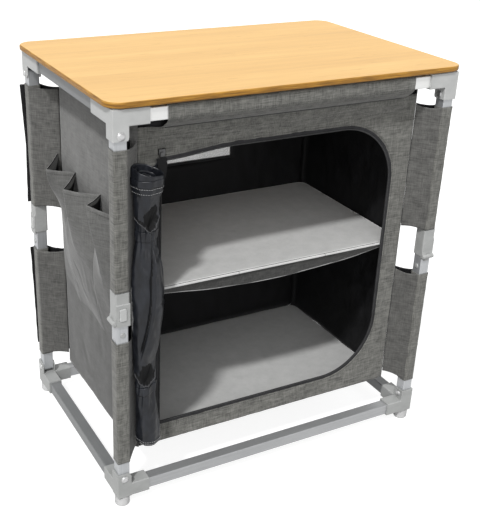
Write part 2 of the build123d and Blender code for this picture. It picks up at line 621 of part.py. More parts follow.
def rolled_door():
    """The door rolled up and tied beside the opening: narrow at the ties, hollow at the top."""
    step = (ROLL_HIGH_Z - ROLL_LOW_Z) / ROLL_STATIONS
    heights = [ROLL_LOW_Z + step * i for i in range(ROLL_STATIONS + 1)]
    side = Spline(*[(roll_radius(z), z) for z in heights])
    outline = Curve([
        side,
        Line((roll_radius(ROLL_HIGH_Z), ROLL_HIGH_Z), (0, ROLL_HIGH_Z)),
        Line((0, ROLL_HIGH_Z), (0, ROLL_LOW_Z)),
        Line((0, ROLL_LOW_Z), (roll_radius(ROLL_LOW_Z), ROLL_LOW_Z)),
    ])
    body = revolve(make_face(Plane.XZ * outline), Axis.Z)
    hollow = Pos(0, 0, ROLL_HIGH_Z - ROLL_HOLLOW_DEPTH / 2) * Cylinder(ROLL_HOLLOW_R, ROLL_HOLLOW_DEPTH)
    rolled = Pos(ROLL_X, roll_y(), 0) * (body - hollow)
    return rolled + door_flap()


def roll_y():
    return BOX_FRONT_Y - ROLL_R - ROLL_CLEAR


def door_ties():
    """A ring of webbing at each waist and a wide strap near the top of the roll."""
    rings = []
    for z, height, inner in tie_bands():
        ring = Cylinder(inner + TIE_THICK, height) - Cylinder(inner, height)
        tail_y = (inner, BOX_FRONT_Y - SOFT_GAP - roll_y())
        tail = block((-TIE_THICK, TIE_THICK), tail_y, (-height / 2, height / 2))
        rings.append(Pos(ROLL_X, roll_y(), z) * (ring + tail))
    return rings


def zip_slider():
    """The slider body astride the zip at the top of the opening, with its hanging pull."""
    y_back = BOX_FRONT_Y - SLIDER_CLEAR
    y_front = y_back - SLIDER_THICK
    z = OPEN_HIGH_Z
    body = block(
        (SLIDER_X - SLIDER_LENGTH / 2, SLIDER_X + SLIDER_LENGTH / 2), (y_front, y_back),
        (z - SLIDER_WIDTH / 2, z + SLIDER_WIDTH / 2),
    )
    body = chamfer(body.faces().sort_by(Axis.Y)[0].edges(), SLIDER_THICK * 0.3)
    pull_shape = RectangleRounded(PULL_WIDTH, PULL_LENGTH, PULL_WIDTH * 0.4)
    outline = Pos(SLIDER_X, z - PULL_LENGTH / 2) * pull_shape
    eye = Pos(SLIDER_X, z - PULL_LENGTH + PULL_WIDTH * 0.6) * Circle(PULL_WIDTH * 0.22)
    pull = along_y(Plane.XZ * (outline - eye), y_front - PULL_THICK, y_front)
    return body + pull


def pocket(fold_a, peak, fold_b):
    """One gusseted pouch: a triangular mouth that tapers down to the panel."""
    wall_x = -BOX_HALF_WIDTH - SOFT_GAP

    def ring(depth, inset):
        reach = wall_x - depth + inset * 2
        lean = fold_b + (peak - fold_b) * 0.15
        return Polyline(
            (wall_x - inset, fold_a - inset * 2), (reach, peak), (reach + depth * 0.25, lean + inset * 2),
            (wall_x - inset, fold_b + inset), close=True,
        )

    outer = loft([
        Pos(0, 0, POCKET_FOOT_Z) * make_face(ring(POCKET_FOOT_DEPTH, 0)),
        Pos(0, 0, POCKET_MOUTH_Z) * make_face(ring(POCKET_DEPTH, 0)),
    ])
    inner = loft([
        Pos(0, 0, POCKET_FOOT_Z + 4) * make_face(ring(POCKET_FOOT_DEPTH + 1, POCKET_WALL)),
        Pos(0, 0, POCKET_MOUTH_Z + 1) * make_face(ring(POCKET_DEPTH, POCKET_WALL)),
    ])
    return outer - inner


def side_pockets():
    folds = [BOX_BACK_Y - inset for inset in POCKET_FOLDS]
    peaks = [BOX_BACK_Y - inset for inset in POCKET_PEAKS]
    return [pocket(folds[i], peaks[i], folds[i + 1] + POCKET_WALL) for i in range(len(peaks))]


def frame_shift():
    """How far back the whole is moved, so that the origin is midway between its front and its back."""
    front_reach = -roll_y() + ROLL_R + TIE_SLACK + TIE_THICK
    return (front_reach - TABLE_DEPTH / 2) / 2


def rivets(z, face):
    return [place(rivet(face, 0, z), corner) for corner in CORNERS]


def build_nodes():
    nodes = {}
    sides = {
        "front": ("front_left", "front_right"), "right": ("front_right", "back_right"),
        "back": ("back_left", "back_right"), "left": ("front_left", "back_left"),
    }
    for side, ends in sides.items():
        nodes["bottom_rail_" + side] = rail(*ends, BOTTOM_RAIL_Z)
        nodes["top_rail_" + side] = rail(*ends, TOP_RAIL_Z)
    for corner in CORNERS:
        nodes["bottom_connector_" + corner] = bottom_connector(corner)
        nodes["top_connector_" + corner] = top_connector(corner)
        nodes["lower_leg_" + corner] = lower_leg(corner)
        nodes["upper_leg_" + corner] = upper_leg(corner)
        nodes["hinge_insert_" + corner] = hinge_insert(corner)
        nodes["hinge_collar_" + corner] = hinge_collar(corner)
        nodes["latch_button_" + corner] = latch_button(corner)
        nodes["lower_sleeve_" + corner] = leg_sleeve(corner, LOWER_SLEEVE_BOTTOM_Z, LOWER_SLEEVE_TOP_Z)
        nodes["upper_sleeve_" + corner] = leg_sleeve(corner, UPPER_SLEEVE_BOTTOM_Z, UPPER_SLEEVE_TOP_Z)
    nodes["feet"] = [foot(corner) for corner in CORNERS]
    nodes["bottom_pivot_rivets"] = rivets(BOTTOM_PIVOT_Z, HALF_BLOCK)
    nodes["top_pivot_rivets"] = rivets(TOP_PIVOT_Z, HALF_BLOCK)
    nodes["table_top"] = table_top()
    nodes["front_panel"] = front_panel()
    nodes["back_panel"] = back_panel()
    nodes["left_panel"] = side_panel(-1)
    nodes["right_panel"] = side_panel(1)
    nodes["floor_panel"] = floor_panel()
    nodes["middle_shelf"] = middle_shelf()
    nodes["bottom_shelf"] = bottom_shelf()
    nodes["top_bands"] = [top_band(-1), top_band(1)]
    nodes["rolled_door"] = rolled_door()
    nodes["door_ties"] = door_ties()
    nodes["zip_slider"] = zip_slider()
    nodes["side_pockets"] = side_pockets()
    return nodes


os.makedirs("parts", exist_ok=True)
for name, shape in build_nodes().items():
    pieces = shape if isinstance(shape, list) else [shape]
    moved = [Pos(0, frame_shift(), 0) * piece for piece in pieces]
    group = Compound(children=moved) if len(moved) > 1 else moved[0]
    export_step(group, "parts/" + name + ".step")
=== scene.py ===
"""Folding camping kitchen cupboard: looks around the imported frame.

Lengths in the shape code are millimetres in the drawing's own axes, whose middle is the middle of the
table. P() turns them into metres in the frame.
"""

import math
import random
from itertools import product

import bpy
from mathutils import Matrix, Vector, noise


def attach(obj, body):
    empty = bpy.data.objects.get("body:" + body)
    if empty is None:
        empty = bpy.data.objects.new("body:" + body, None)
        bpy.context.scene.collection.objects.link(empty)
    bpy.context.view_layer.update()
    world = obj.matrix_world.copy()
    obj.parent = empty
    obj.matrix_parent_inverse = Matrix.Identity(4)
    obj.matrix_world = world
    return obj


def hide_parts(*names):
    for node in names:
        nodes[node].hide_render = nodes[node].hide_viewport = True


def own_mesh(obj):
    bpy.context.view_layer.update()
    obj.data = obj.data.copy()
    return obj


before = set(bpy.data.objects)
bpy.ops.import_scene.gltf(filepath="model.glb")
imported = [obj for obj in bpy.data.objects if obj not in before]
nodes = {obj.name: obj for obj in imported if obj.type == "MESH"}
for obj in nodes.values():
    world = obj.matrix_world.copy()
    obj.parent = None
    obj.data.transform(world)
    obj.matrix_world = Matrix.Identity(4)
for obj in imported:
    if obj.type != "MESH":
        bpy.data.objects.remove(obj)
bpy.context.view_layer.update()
scene = bpy.context.scene

# Places in the drawing.
SHIFT_Y = 6.5
LEG_X, LEG_Y = 280.5, 182.0
CORNERS = {"front_left": (-1, -1), "front_right": (1, -1), "back_right": (1, 1), "back_left": (-1, 1)}
FRONT_Y, BACK_Y = -160.0, 148.0
SIDE_X = 250.0
# The front and back panels end here and the side walls begin.
TURN = 242.3
PANEL_LOW, PANEL_TOP = 82.0, 612.0
BOX_BOTTOM = 80.0
WALL_Y = {-1: FRONT_Y, 1: BACK_Y}
# Half the width of a leg's sleeve.
SLEEVE = 10.6
AHEAD = (0, -1, 0)


def P(x, y, z):
    return Vector((x / 1000, (y + SHIFT_Y) / 1000, z / 1000))


def lerp(a, b, t):
    return a + (b - a) * t


def smooth(t):
    t = min(1.0, max(0.0, t))
    return t * t * (3 - 2 * t)


def bump(t):
    """0 at both ends of 0..1 and 1 in the middle."""
    return math.sin(math.pi * min(1.0, max(0.0, t)))


def wob(x, y, z, size, seed):
    """Smooth noise from about -1 to 1, with features of the given size in millimetres."""
    return noise.noise(Vector((x / size + seed * 7.3, y / size - seed * 3.1, z / size + seed * 1.7)))


def table_at(table, place):
    """The value at a place in a table of places and values."""
    for (a, from_value), (b, to_value) in zip(table, table[1:]):
        if place <= b:
            return lerp(from_value, to_value, min(1.0, max(0.0, (place - a) / (b - a))))
    return table[-1][1]


def along(path, t):
    """A point a share of the way along a path of straight lines."""
    at = t * (len(path) - 1)
    i = min(int(at), len(path) - 2)
    return [lerp(a, b, at - i) for a, b in zip(path[i], path[i + 1])]


def arc(cx, cy, radius, start, end, count):
    """Points along an arc whose ends are given in degrees."""
    turns = [math.radians(lerp(start, end, i / count)) for i in range(count + 1)]
    return [(cx + radius * math.cos(turn), cy + radius * math.sin(turn)) for turn in turns]


class Creases:
    """Seeded soft folds on a sheet: each is a straight ridge that fades at its ends and sides."""

    def __init__(self, seed, count, wide, tall, lean, length, width, height):
        picks = random.Random(seed)
        self.folds = []
        for _ in range(count):
            turn = math.radians(picks.gauss(*lean))
            self.folds.append((
                picks.uniform(*wide), picks.uniform(*tall), math.cos(turn), math.sin(turn),
                picks.uniform(0.5, 1.0) * length, picks.uniform(0.6, 1.3) * width, picks.uniform(-1.0, 1.0) * height,
            ))

    def at(self, a, b):
        """How far the folds stand out at a point of the sheet."""
        total = 0.0
        for x, z, c, s, length, width, height in self.folds:
            dx, dz = a - x, b - z
            ahead = dx * c + dz * s
            across = (dz * c - dx * s) / width
            if abs(ahead) <= length and abs(across) <= 3:
                total += height * math.exp(-across * across) * (1 - (ahead / length) ** 2) ** 2
        return total


# Materials


def new_material(name):
    made = bpy.data.materials.new(name)
    made.use_nodes = True
    return made, made.node_tree, made.node_tree.nodes["Principled BSDF"]


def put(tree, node, inputs):
    """Links a node's sockets, or sets them where the value is plain."""
    for key, value in inputs.items():
        if isinstance(value, bpy.types.NodeSocket):
            tree.links.new(value, node.inputs[key])
        else:
            node.inputs[key].default_value = value


def add(tree, kind, inputs=(), **settings):
    made = tree.nodes.new(kind)
    for key, value in settings.items():
        setattr(made, key, value)
    put(tree, made, dict(inputs))
    return made


def coords(tree, scale=(1, 1, 1)):
    """Points of the frame, in metres, stretched by scale."""
    place = add(tree, "ShaderNodeTexCoord")
    return add(tree, "ShaderNodeMapping", {"Vector": place.outputs["Object"], "Scale": scale}).outputs[0]


def noise_at(tree, scale, detail=2.0, rough=0.5):
    inputs = {"Vector": coords(tree, scale), "Scale": 1.0, "Detail": detail, "Roughness": rough}
    return add(tree, "ShaderNodeTexNoise", inputs).outputs[0]


def calc(tree, kind, a, b):
    return add(tree, "ShaderNodeMath", {0: a, 1: b}, operation=kind).outputs[0]


def ramp(tree, factor, stops):
    """Colours by the factor's value; a plain number stands for a grey."""
    made = add(tree, "ShaderNodeValToRGB", {0: factor})
    elements = made.color_ramp.elements
    while len(elements) < len(stops):
        elements.new(0.5)
    for element, (place, color) in zip(elements, stops):
        element.position = place
        element.color = (*color, 1) if isinstance(color, tuple) else (color, color, color, 1)
    return made.outputs[0]


def bumped(tree, height, strength, distance):
    return add(tree, "ShaderNodeBump", {"Height": height, "Strength": strength, "Distance": distance}).outputs[0]


def mix(tree, *shares):
    """The sum of values, each times its share."""
    parts = [calc(tree, "MULTIPLY", value, share) for value, share in shares]
    total = parts[0]
    for part in parts[1:]:
        total = calc(tree, "ADD", total, part)
    return total


def spread_over(tree, value, low, high, start=0.3, end=0.7):
    """From low to high as the value goes from start to end."""
    return add(tree, "ShaderNodeMapRange", {0: value, 1: start, 2: end, 3: low, 4: high}).outputs[0]


def blend(tree, share, first, second):
    """Two colours, the second in the share given."""
    return add(tree, "ShaderNodeMix", {0: share, 6: first, 7: second}, data_type="RGBA").outputs[2]


def melange(name, dark, light, contrast=1.0, painted_shading_fall=0.0):
    """Coarse two-tone weave of slubby threads, lighter and darker; where given, the last argument adds painted shade
    towards the ground and a little painted light towards the top.
    """
    made, tree, shader = new_material(name)
    upright = noise_at(tree, (620, 620, 60), 3.0, 0.62)
    across = noise_at(tree, (48, 48, 560), 3.0, 0.62)
    grain = noise_at(tree, (1300, 1300, 1300), 1.0)
    cloud = noise_at(tree, (80, 80, 74), 3.0, 0.6)
    yarn = mix(tree, (upright, 0.30), (across, 0.38), (grain, 0.12), (cloud, 0.20))
    spread = 0.125 / contrast
    color = ramp(tree, yarn, [(0.5 - spread, dark), (0.5 + spread, light)])
    # Painted shade and light: darker towards the ground below 0.24 m, slightly lighter above 0.5 m.
    if painted_shading_fall:
        height = add(tree, "ShaderNodeSeparateXYZ", {0: coords(tree)}).outputs[2]
        share = spread_over(tree, height, 1 - painted_shading_fall, 1 + painted_shading_fall * 0.2, 0.24, 0.50)
        color = add(tree, "ShaderNodeVectorMath", {0: color, 1: share}, operation="MULTIPLY").outputs[0]
    put(tree, shader, {
        "Base Color": color, "Roughness": 0.88, "Specular IOR Level": 0.25, "Sheen Weight": 0.18,
        "Sheen Roughness": 0.5, "Normal": bumped(tree, yarn, 0.55, 0.0009),
    })
    return made


def coated(name, dark, light, rough, crease=1.0, coat=0.0):
    """Black coated cloth: fine crinkles, a little uneven gloss and a faint painted highlight, paler colour on the
    crinkles' ridges.
    """
    made, tree, shader = new_material(name)
    crinkle = noise_at(tree, (70, 70, 34), 5.0, 0.62)
    fine = noise_at(tree, (900, 900, 900), 2.0)
    put(tree, shader, {
        "Base Color": ramp(tree, crinkle, [(0.35, dark), (0.72, light)]),
        "Roughness": spread_over(tree, crinkle, rough - 0.08, rough + 0.1), "Specular IOR Level": 0.24,
        "Coat Weight": coat, "Coat Roughness": 0.35,
        "Normal": bumped(tree, mix(tree, (crinkle, crease), (fine, 0.08)), 0.35, 0.002),
    })
    return made


def moulded(name, dark, light, rough=0.5):
    """Moulded plastic: fine spark-eroded grain with slight flow marks."""
    made, tree, shader = new_material(name)
    flow = noise_at(tree, (30, 30, 55), 4.0, 0.6)
    grain = noise_at(tree, (2200, 2200, 2200), 1.0)
    put(tree, shader, {
        "Base Color": ramp(tree, flow, [(0.3, dark), (0.7, light)]),
        "Roughness": spread_over(tree, flow, rough - 0.07, rough + 0.07), "Specular IOR Level": 0.42,
        "Normal": bumped(tree, grain, 0.12, 0.0003),
    })
    return made


def metal(name, dark, light, grain, rough=0.42, metallic=0.55):
    """Drawn or brushed metal with fine lines along one axis; grain is the stretch for each axis."""
    made, tree, shader = new_material(name)
    lines = noise_at(tree, grain, 3.0, 0.6)
    cloud = noise_at(tree, (14, 14, 14), 3.0, 0.6)
    both = mix(tree, (lines, 0.6), (cloud, 0.4))
    put(tree, shader, {
        "Base Color": ramp(tree, both, [(0.3, dark), (0.7, light)]), "Metallic": metallic,
        "Roughness": spread_over(tree, both, rough - 0.08, rough + 0.08), "Normal": bumped(tree, lines, 0.08, 0.0003),
    })
    return made


def bamboo():
    """Pale pressed bamboo: strips along X with faint streaks and a few darker nodes; a browner edge."""
    made, tree, shader = new_material("worktop_bamboo")
    streak = noise_at(tree, (5, 210, 90), 4.0, 0.62)
    broad = noise_at(tree, (2.2, 26, 8), 3.0, 0.6)
    flecks = noise_at(tree, (26, 160, 60), 2.0, 0.7)
    layers = noise_at(tree, (30, 30, 700), 3.0, 0.6)
    both = mix(tree, (streak, 0.5), (broad, 0.5))
    wood = ramp(tree, both, [
        (0.33, (0.545, 0.322, 0.106)), (0.5, (0.615, 0.382, 0.142)), (0.68, (0.675, 0.446, 0.184)),
    ])
    spots = ramp(tree, flecks, [(0.62, 0), (0.80, 1)])
    node_brown = (0.36, 0.19, 0.06, 1)
    top = blend(tree, calc(tree, "MULTIPLY", spots, 0.45), wood, node_brown)
    edge = ramp(tree, layers, [
        (0.35, (0.16, 0.072, 0.009)), (0.6, (0.34, 0.165, 0.020)), (0.75, (0.50, 0.27, 0.045)),
    ])
    normal = add(tree, "ShaderNodeNewGeometry").outputs["Normal"]
    up = add(tree, "ShaderNodeSeparateXYZ", {0: normal}).outputs[2]
    put(tree, shader, {
        "Base Color": blend(tree, spread_over(tree, up, 0.0, 1.0, 0.72, 0.97), edge, top),
        "Roughness": spread_over(tree, both, 0.42, 0.6), "Specular IOR Level": 0.35,
        "Normal": bumped(tree, both, 0.10, 0.0006),
    })
    return made


GREY = melange("melange_grey", (0.048, 0.0475, 0.0435), (0.190, 0.188, 0.173))
# The side walls' and pockets' grey: lower contrast, with painted shade towards the ground.
GREY_SIDE = melange("melange_grey_side", (0.054, 0.054, 0.0525), (0.172, 0.171, 0.165), 0.62, 0.42)
# A darker copy of the grey for the corner webs and the fins: painted shade of their recess, with a little more
# painted shade towards the ground.
GREY_WEB_SHADED = melange("melange_grey_web_painted_shade", (0.038, 0.0376, 0.0355), (0.134, 0.132, 0.125), 0.85, 0.14)
HEM = melange("melange_hem", (0.040, 0.040, 0.038), (0.150, 0.148, 0.140))
LINING = coated("lining_black", (0.0018, 0.0018, 0.0021), (0.0075, 0.0075, 0.0085), 0.65)
DOOR = coated("door_coated", (0.0042, 0.0047, 0.0062), (0.0140, 0.0158, 0.0205), 0.36, 1.0, 0.12)
DEEP = coated("door_in_shadow", (0.0009, 0.0009, 0.001), (0.0032, 0.0033, 0.0038), 0.8, 0.5)
TAPE = coated("zip_tape", (0.010, 0.010, 0.011), (0.030, 0.030, 0.032), 0.75, 0.4)
SHELF = melange("shelf_cloth", (0.345, 0.345, 0.34), (0.435, 0.435, 0.428), 0.8)
PLASTIC = moulded("connector_plastic", (0.365, 0.37, 0.365), (0.435, 0.44, 0.435))
FOOT = moulded("foot_plastic", 0.40, 0.50, 0.6)
# A darker copy of the connector plastic for the bottom connectors: painted shade near the ground.
LOW_PLASTIC_SHADED = moulded("connector_plastic_low_painted_shade", (0.255, 0.26, 0.255), (0.315, 0.32, 0.315))
LATCH = moulded("latch_plastic", (0.270, 0.275, 0.270), (0.335, 0.34, 0.335), 0.45)
# The valance's grey, much darker than the other cloth: painted shade under the shelf.
VALANCE = melange("melange_valance_painted_shade", 0.010, (0.060, 0.060, 0.057))
THREAD = moulded("thread", 0.20, 0.34, 0.8)
DARK_THREAD = moulded("dark_thread", 0.030, 0.055, 0.8)
# A paler line along each tie's V: painted highlight on the rolled edge.
V_EDGE_HIGHLIGHT = moulded("v_edge_painted_highlight", (0.030, 0.030, 0.032), (0.070, 0.070, 0.073), 0.6)
EDGE = moulded("shelf_edge_plastic", (0.46, 0.46, 0.455), (0.55, 0.55, 0.545), 0.5)
# A light cord colour for the shelf board's rim: painted highlight.
SHELF_EDGE_HIGHLIGHT = moulded("shelf_edge_painted_highlight", (0.44, 0.44, 0.43), (0.56, 0.56, 0.55), 0.7)
ALONG_X = metal("aluminium_along_x", (0.29, 0.295, 0.30), (0.37, 0.375, 0.38), (12, 700, 700))
# A much lighter copy of the front and back rails' aluminium for the top rails: painted light.
TOP_RAIL_LIT = metal("aluminium_top_rail_painted_light", (0.62, 0.62, 0.61), (0.72, 0.72, 0.71), (12, 700, 700))
# A darker, duller copy of the rails' aluminium for the side rails: painted shade.
ALONG_Y_SHADED = metal("aluminium_along_y_painted_shade", (0.140, 0.145, 0.147), (0.195, 0.20, 0.202), (700, 12, 700), 0.5, 0.25)
ALONG_Z = metal("aluminium_along_z", (0.34, 0.35, 0.36), (0.44, 0.45, 0.46), (700, 700, 12))
STEEL = metal("rivet_steel", 0.42, 0.62, (300, 300, 300), 0.35, 0.9)
ZIP_METAL = metal("slider_metal", (0.035, 0.035, 0.036), 0.11, (300, 300, 300), 0.3, 0.9)
NET = moulded("window_net", (0.30, 0.30, 0.295), (0.42, 0.42, 0.41), 0.7)


def dress(material, *names):
    """Gives carried-over nodes their material."""
    for name in names:
        slots = nodes[name].data.materials
        slots.clear()
        slots.append(material)


dress(ALONG_X, "bottom_rail_front", "bottom_rail_back")
dress(TOP_RAIL_LIT, "top_rail_front", "top_rail_back")
dress(ALONG_Y_SHADED, "bottom_rail_left", "bottom_rail_right", "top_rail_left", "top_rail_right")
for corner in CORNERS:
    dress(LOW_PLASTIC_SHADED, "bottom_connector_" + corner)
    dress(PLASTIC, "top_connector_" + corner, "latch_button_" + corner)
    dress(ALONG_Z, "lower_leg_" + corner, "upper_leg_" + corner)
    dress(LATCH, "hinge_insert_" + corner, "hinge_collar_" + corner)
dress(FOOT, "feet")
dress(STEEL, "bottom_pivot_rivets", "top_pivot_rivets")
dress(bamboo(), "table_top")
dress(ZIP_METAL, "zip_slider")


# Mesh helpers


def build(name, verts, faces, materials, index, smooth_faces):
    """An object from points in metres, with a material and a shading for each face."""
    data = bpy.data.meshes.new(name)
    data.from_pydata(verts, [], faces)
    for material in materials:
        data.materials.append(material)
    data.polygons.foreach_set("material_index", index)
    data.polygons.foreach_set("use_smooth", smooth_faces)
    data.update()
    made = bpy.data.objects.new(name, data)
    scene.collection.objects.link(made)
    return made


def mesh(name, verts, faces, materials, shade=True):
    """An object from points in the drawing's millimetres, all in its first material."""
    return build(name, [P(*v) for v in verts], faces, materials, [0] * len(faces), [shade] * len(faces))


def quads(columns, rows, around, flip=False, start=0):
    """The faces between rows of points, closed on themselves if around is the number of columns."""
    faces = []
    for j in range(rows - 1):
        for i in range(around):
            a = start + j * columns + i
            b = start + j * columns + (i + 1) % columns
            face = (a, b, b + columns, a + columns)
            faces.append(face[::-1] if flip else face)
    return faces


def grid(name, columns, rows, shape, materials, wrap=False, flip=False):
    """A sheet through shape(u, v), u along the columns and v along the rows, both from 0 to 1."""
    last = columns if wrap else columns - 1
    verts = [shape(i / last, j / (rows - 1)) for j in range(rows) for i in range(columns)]
    return mesh(name, verts, quads(columns, rows, last, flip), materials)


def thicken(piece, amount, inner=0, side=-1.0):
    """Gives a sheet its thickness in millimetres, away from its face side by default."""
    made = piece.modifiers.new("thickness", "SOLIDIFY")
    made.thickness = amount / 1000
    made.offset = side
    made.material_offset = inner
    return piece


def cloth(name, columns, rows, shape, materials, thick, wrap=False, flip=False, side=-1.0):
    """A sheet with a thickness; its second material, if it has one, is that of its back."""
    return thicken(grid(name, columns, rows, shape, materials, wrap, flip), thick, len(materials) - 1, side)


def join(name, pieces):
    """One object from several, with their modifiers applied and their materials kept."""
    graph = bpy.context.evaluated_depsgraph_get()
    verts, faces, index, materials, smooth_faces = [], [], [], [], []
    for piece in pieces:
        shown = piece.evaluated_get(graph)
        data = shown.to_mesh()
        start = len(verts)
        verts += [v.co.copy() for v in data.vertices]
        for polygon in data.polygons:
            faces.append([start + i for i in polygon.vertices])
            material = piece.data.materials[polygon.material_index]
            if material not in materials:
                materials.append(material)
            index.append(materials.index(material))
            smooth_faces.append(polygon.use_smooth)
        shown.to_mesh_clear()
    for piece in pieces:
        bpy.data.objects.remove(piece)
    return build(name, verts, faces, materials, index, smooth_faces)


def spaced(points, step, closed=False):
    """The points of a polyline at even steps, each with its direction."""
    points = [Vector(p) for p in points]
    if closed:
        points.append(points[0])
    found = []
    carry = 0.0
    for a, b in zip(points, points[1:]):
        run = (b - a).length
        if run < 1e-6:
            continue
        way = (b - a) / run
        at = carry
        while at < run:
            found.append((a + way * at, way))
            at += step
        carry = at - run
    return found


def round_line(points, step):
    """Points at even steps round a closed outline."""
    return [point for point, _ in spaced(points, step, True)]


def lozenges(name, places, length, width, height, material):
    """Stitches as small raised lozenges, each from its start, its way and the ways across and out."""
    foot = ((0, -1, 0), (0, 1, 0), (1, 1, 0), (1, -1, 0))
    top = ((0.25, -0.5, 1), (0.25, 0.5, 1), (0.75, 0.5, 1), (0.75, -0.5, 1))
    verts, faces = [], []
    for place, way, across, out in places:
        start = len(verts)
        for ahead, side, rise in foot + top:
            verts.append(place + way * ahead * length + across * side * width / 2 + out * rise * height)
        for face in ((0, 1, 5, 4), (1, 2, 6, 5), (2, 3, 7, 6), (3, 0, 4, 7), (4, 5, 6, 7), (3, 2, 1, 0)):
            faces.append([start + i for i in face])
    return mesh(name, verts, faces, [material])


def dashes(name, points, out, material, length=2.4, gap=1.2, width=0.5, height=0.35, closed=False):
    """A row of stitches along a polyline, standing out along out."""
    out = Vector(out).normalized()
    places = [(point, way, way.cross(out).normalized(), out) for point, way in spaced(points, length + gap, closed)]
    return lozenges(name, places, length, width, height, material)


def ribbon(name, points, out, width, height, material, closed=False):
    """A flat tape or bead of elliptical section along a polyline; out is its flat face's direction."""
    points = [Vector(p) for p in points]
    count = len(points)
    out = Vector(out).normalized()
    around = 8
    verts = []
    for i, point in enumerate(points):
        before = points[i - 1] if closed or i else points[0]
        after = points[(i + 1) % count] if closed or i < count - 1 else points[-1]
        way = (after - before).normalized()
        across = way.cross(out).normalized()
        for k in range(around):
            turn = 2 * math.pi * k / around
            verts.append(point + across * math.cos(turn) * width / 2 + out * math.sin(turn) * height / 2)
    faces = []
    for i in range(count if closed else count - 1):
        for k in range(around):
            a = i * around + k
            b = i * around + (k + 1) % around
            c = ((i + 1) % count) * around + (k + 1) % around
            d = ((i + 1) % count) * around + k
            faces.append((a, d, c, b))
    if not closed:
        faces.append(tuple(range(around)))
        faces.append(tuple(range((count - 1) * around, count * around))[::-1])
    return mesh(name, verts, faces, [material])


def stand_in(piece, node=None, body=None):
    """Hides the node that a piece stands for and hangs the piece on the body it rides on.

    Without a body it is fabric of the cupboard: it rides on the base, with a mesh of its own.
    """
    if node:
        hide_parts(node)
    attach(piece, body or "base")
    if not body:
        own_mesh(piece)


# Washers under the pivot rivets' heads


def washer(level, corner, z, body):
    """A thin ring on each outer face of a connector's block, round the rivet."""
    side_x, side_y = CORNERS[corner]
    along_y = corner in ("front_left", "back_right")
    count = 24
    profile = ((3.2, 12.0), (6.0, 12.0), (5.8, 12.7), (3.2, 12.7))
    verts, faces = [], []
    for face in (-1, 1):
        start = len(verts)
        for radius, out in profile:
            for i in range(count):
                turn = 2 * math.pi * i / count
                a, b = radius * math.cos(turn), radius * math.sin(turn)
                x, y = (a, face * out) if along_y else (face * out, a)
                verts.append((side_x * LEG_X + x, side_y * LEG_Y + y, z + b))
        faces += quads(count, len(profile), count, (face > 0) == along_y, start)
    stand_in(mesh(level + "_washer_" + corner, verts, faces, [STEEL]), None, body)


LOW_PIVOT_Z, HIGH_PIVOT_Z = 53.0, 614.0
for corner in CORNERS:
    washer("bottom", corner, LOW_PIVOT_Z, "base")
    washer("top", corner, HIGH_PIVOT_Z, "top_frame")


# Front panel with its zipped opening

OPEN_LEFT, OPEN_RIGHT = -212.0, 210.0
OPEN_LOW, OPEN_HIGH = 114.0, 574.0
# The radii of the opening's corners, on the right and on the left.
OPEN_R, OPEN_SMALL_R = 104.0, 7.0


def top_sag(x):
    """The opening's top edge hangs down a little towards the roll."""
    return 8.5 * smooth((-85 - x) / 122)


def opening_loop():
    """The opening's outline as x, z points, clockwise from its upper left corner."""
    left, small, right = OPEN_LEFT + OPEN_SMALL_R, OPEN_SMALL_R, OPEN_RIGHT - OPEN_R
    loop = [(x, z - top_sag(x)) for x, z in arc(left, OPEN_HIGH - small, small, 180, 90, 4)]
    loop += [(x, OPEN_HIGH - top_sag(x)) for x in range(-195, 90, 15)]
    loop += arc(right, OPEN_HIGH - OPEN_R, OPEN_R, 90, 0, 24)
    loop += arc(right, OPEN_LOW + OPEN_R, OPEN_R, 0, -90, 24)
    loop += arc(left, OPEN_LOW + small, small, -90, -180, 4)
    return loop


def ray_hit(loop, centre, turn):
    """Where a ray from centre meets a closed outline."""
    dx, dz = math.cos(turn), math.sin(turn)
    best = 0.0
    for (ax, az), (bx, bz) in zip(loop, loop[1:] + loop[:1]):
        ex, ez = bx - ax, bz - az
        cross = dx * ez - dz * ex
        if abs(cross) < 1e-9:
            continue
        reach = ((ax - centre[0]) * ez - (az - centre[1]) * ex) / cross
        share = ((ax - centre[0]) * dz - (az - centre[1]) * dx) / cross
        if reach > 0 and -1e-6 <= share <= 1 + 1e-6:
            best = max(best, reach)
    return centre[0] + dx * best, centre[1] + dz * best


# The radius of the panels' lower corners, and the directions in which their sheets are divided.
PANEL_R = 10.0
SPOKES = 300
OUTLINE = [(-TURN, PANEL_TOP), (TURN, PANEL_TOP)]
OUTLINE += arc(TURN - PANEL_R, PANEL_LOW + PANEL_R, PANEL_R, 0, -90, 4)
OUTLINE += arc(PANEL_R - TURN, PANEL_LOW + PANEL_R, PANEL_R, -90, -180, 4)


def panel(node, hole, rings, depth, flip):
    """The front or back of the cupboard: a sheet in rings between a hole's outline and its own."""
    xs, zs = zip(*hole)
    centre = ((min(xs) + max(xs)) / 2, (min(zs) + max(zs)) / 2)
    turns = [2 * math.pi * i / SPOKES for i in range(SPOKES)]
    turns += [math.atan2(z - centre[1], x - centre[0]) % (2 * math.pi) for x, z in OUTLINE]
    turns = sorted(set(round(t, 5) for t in turns))
    spokes = [ray_hit(hole, centre, t) + ray_hit(OUTLINE, centre, t) for t in turns]
    verts = []
    for r in range(rings + 1):
        share = r / rings
        for ax, az, bx, bz in spokes:
            x, z = lerp(ax, bx, share), lerp(az, bz, share)
            verts.append((x, depth(x, z, share), z))
    made = mesh(node + "_cloth", verts, quads(len(turns), rings + 1, len(turns), flip), [GREY, LINING])
    stand_in(thicken(made, 1.2, 1), node)


FRONT_FOLDS = Creases(5, 60, (-235, 235), (90, 605), (0, 70), 45, 5.0, 1.5)


def lean_out(x, z):
    """The panel's top leans out towards the rail, but not at its ends."""
    return 10.0 * smooth((z - 578) / 32) * smooth((232 - abs(x)) / 26)


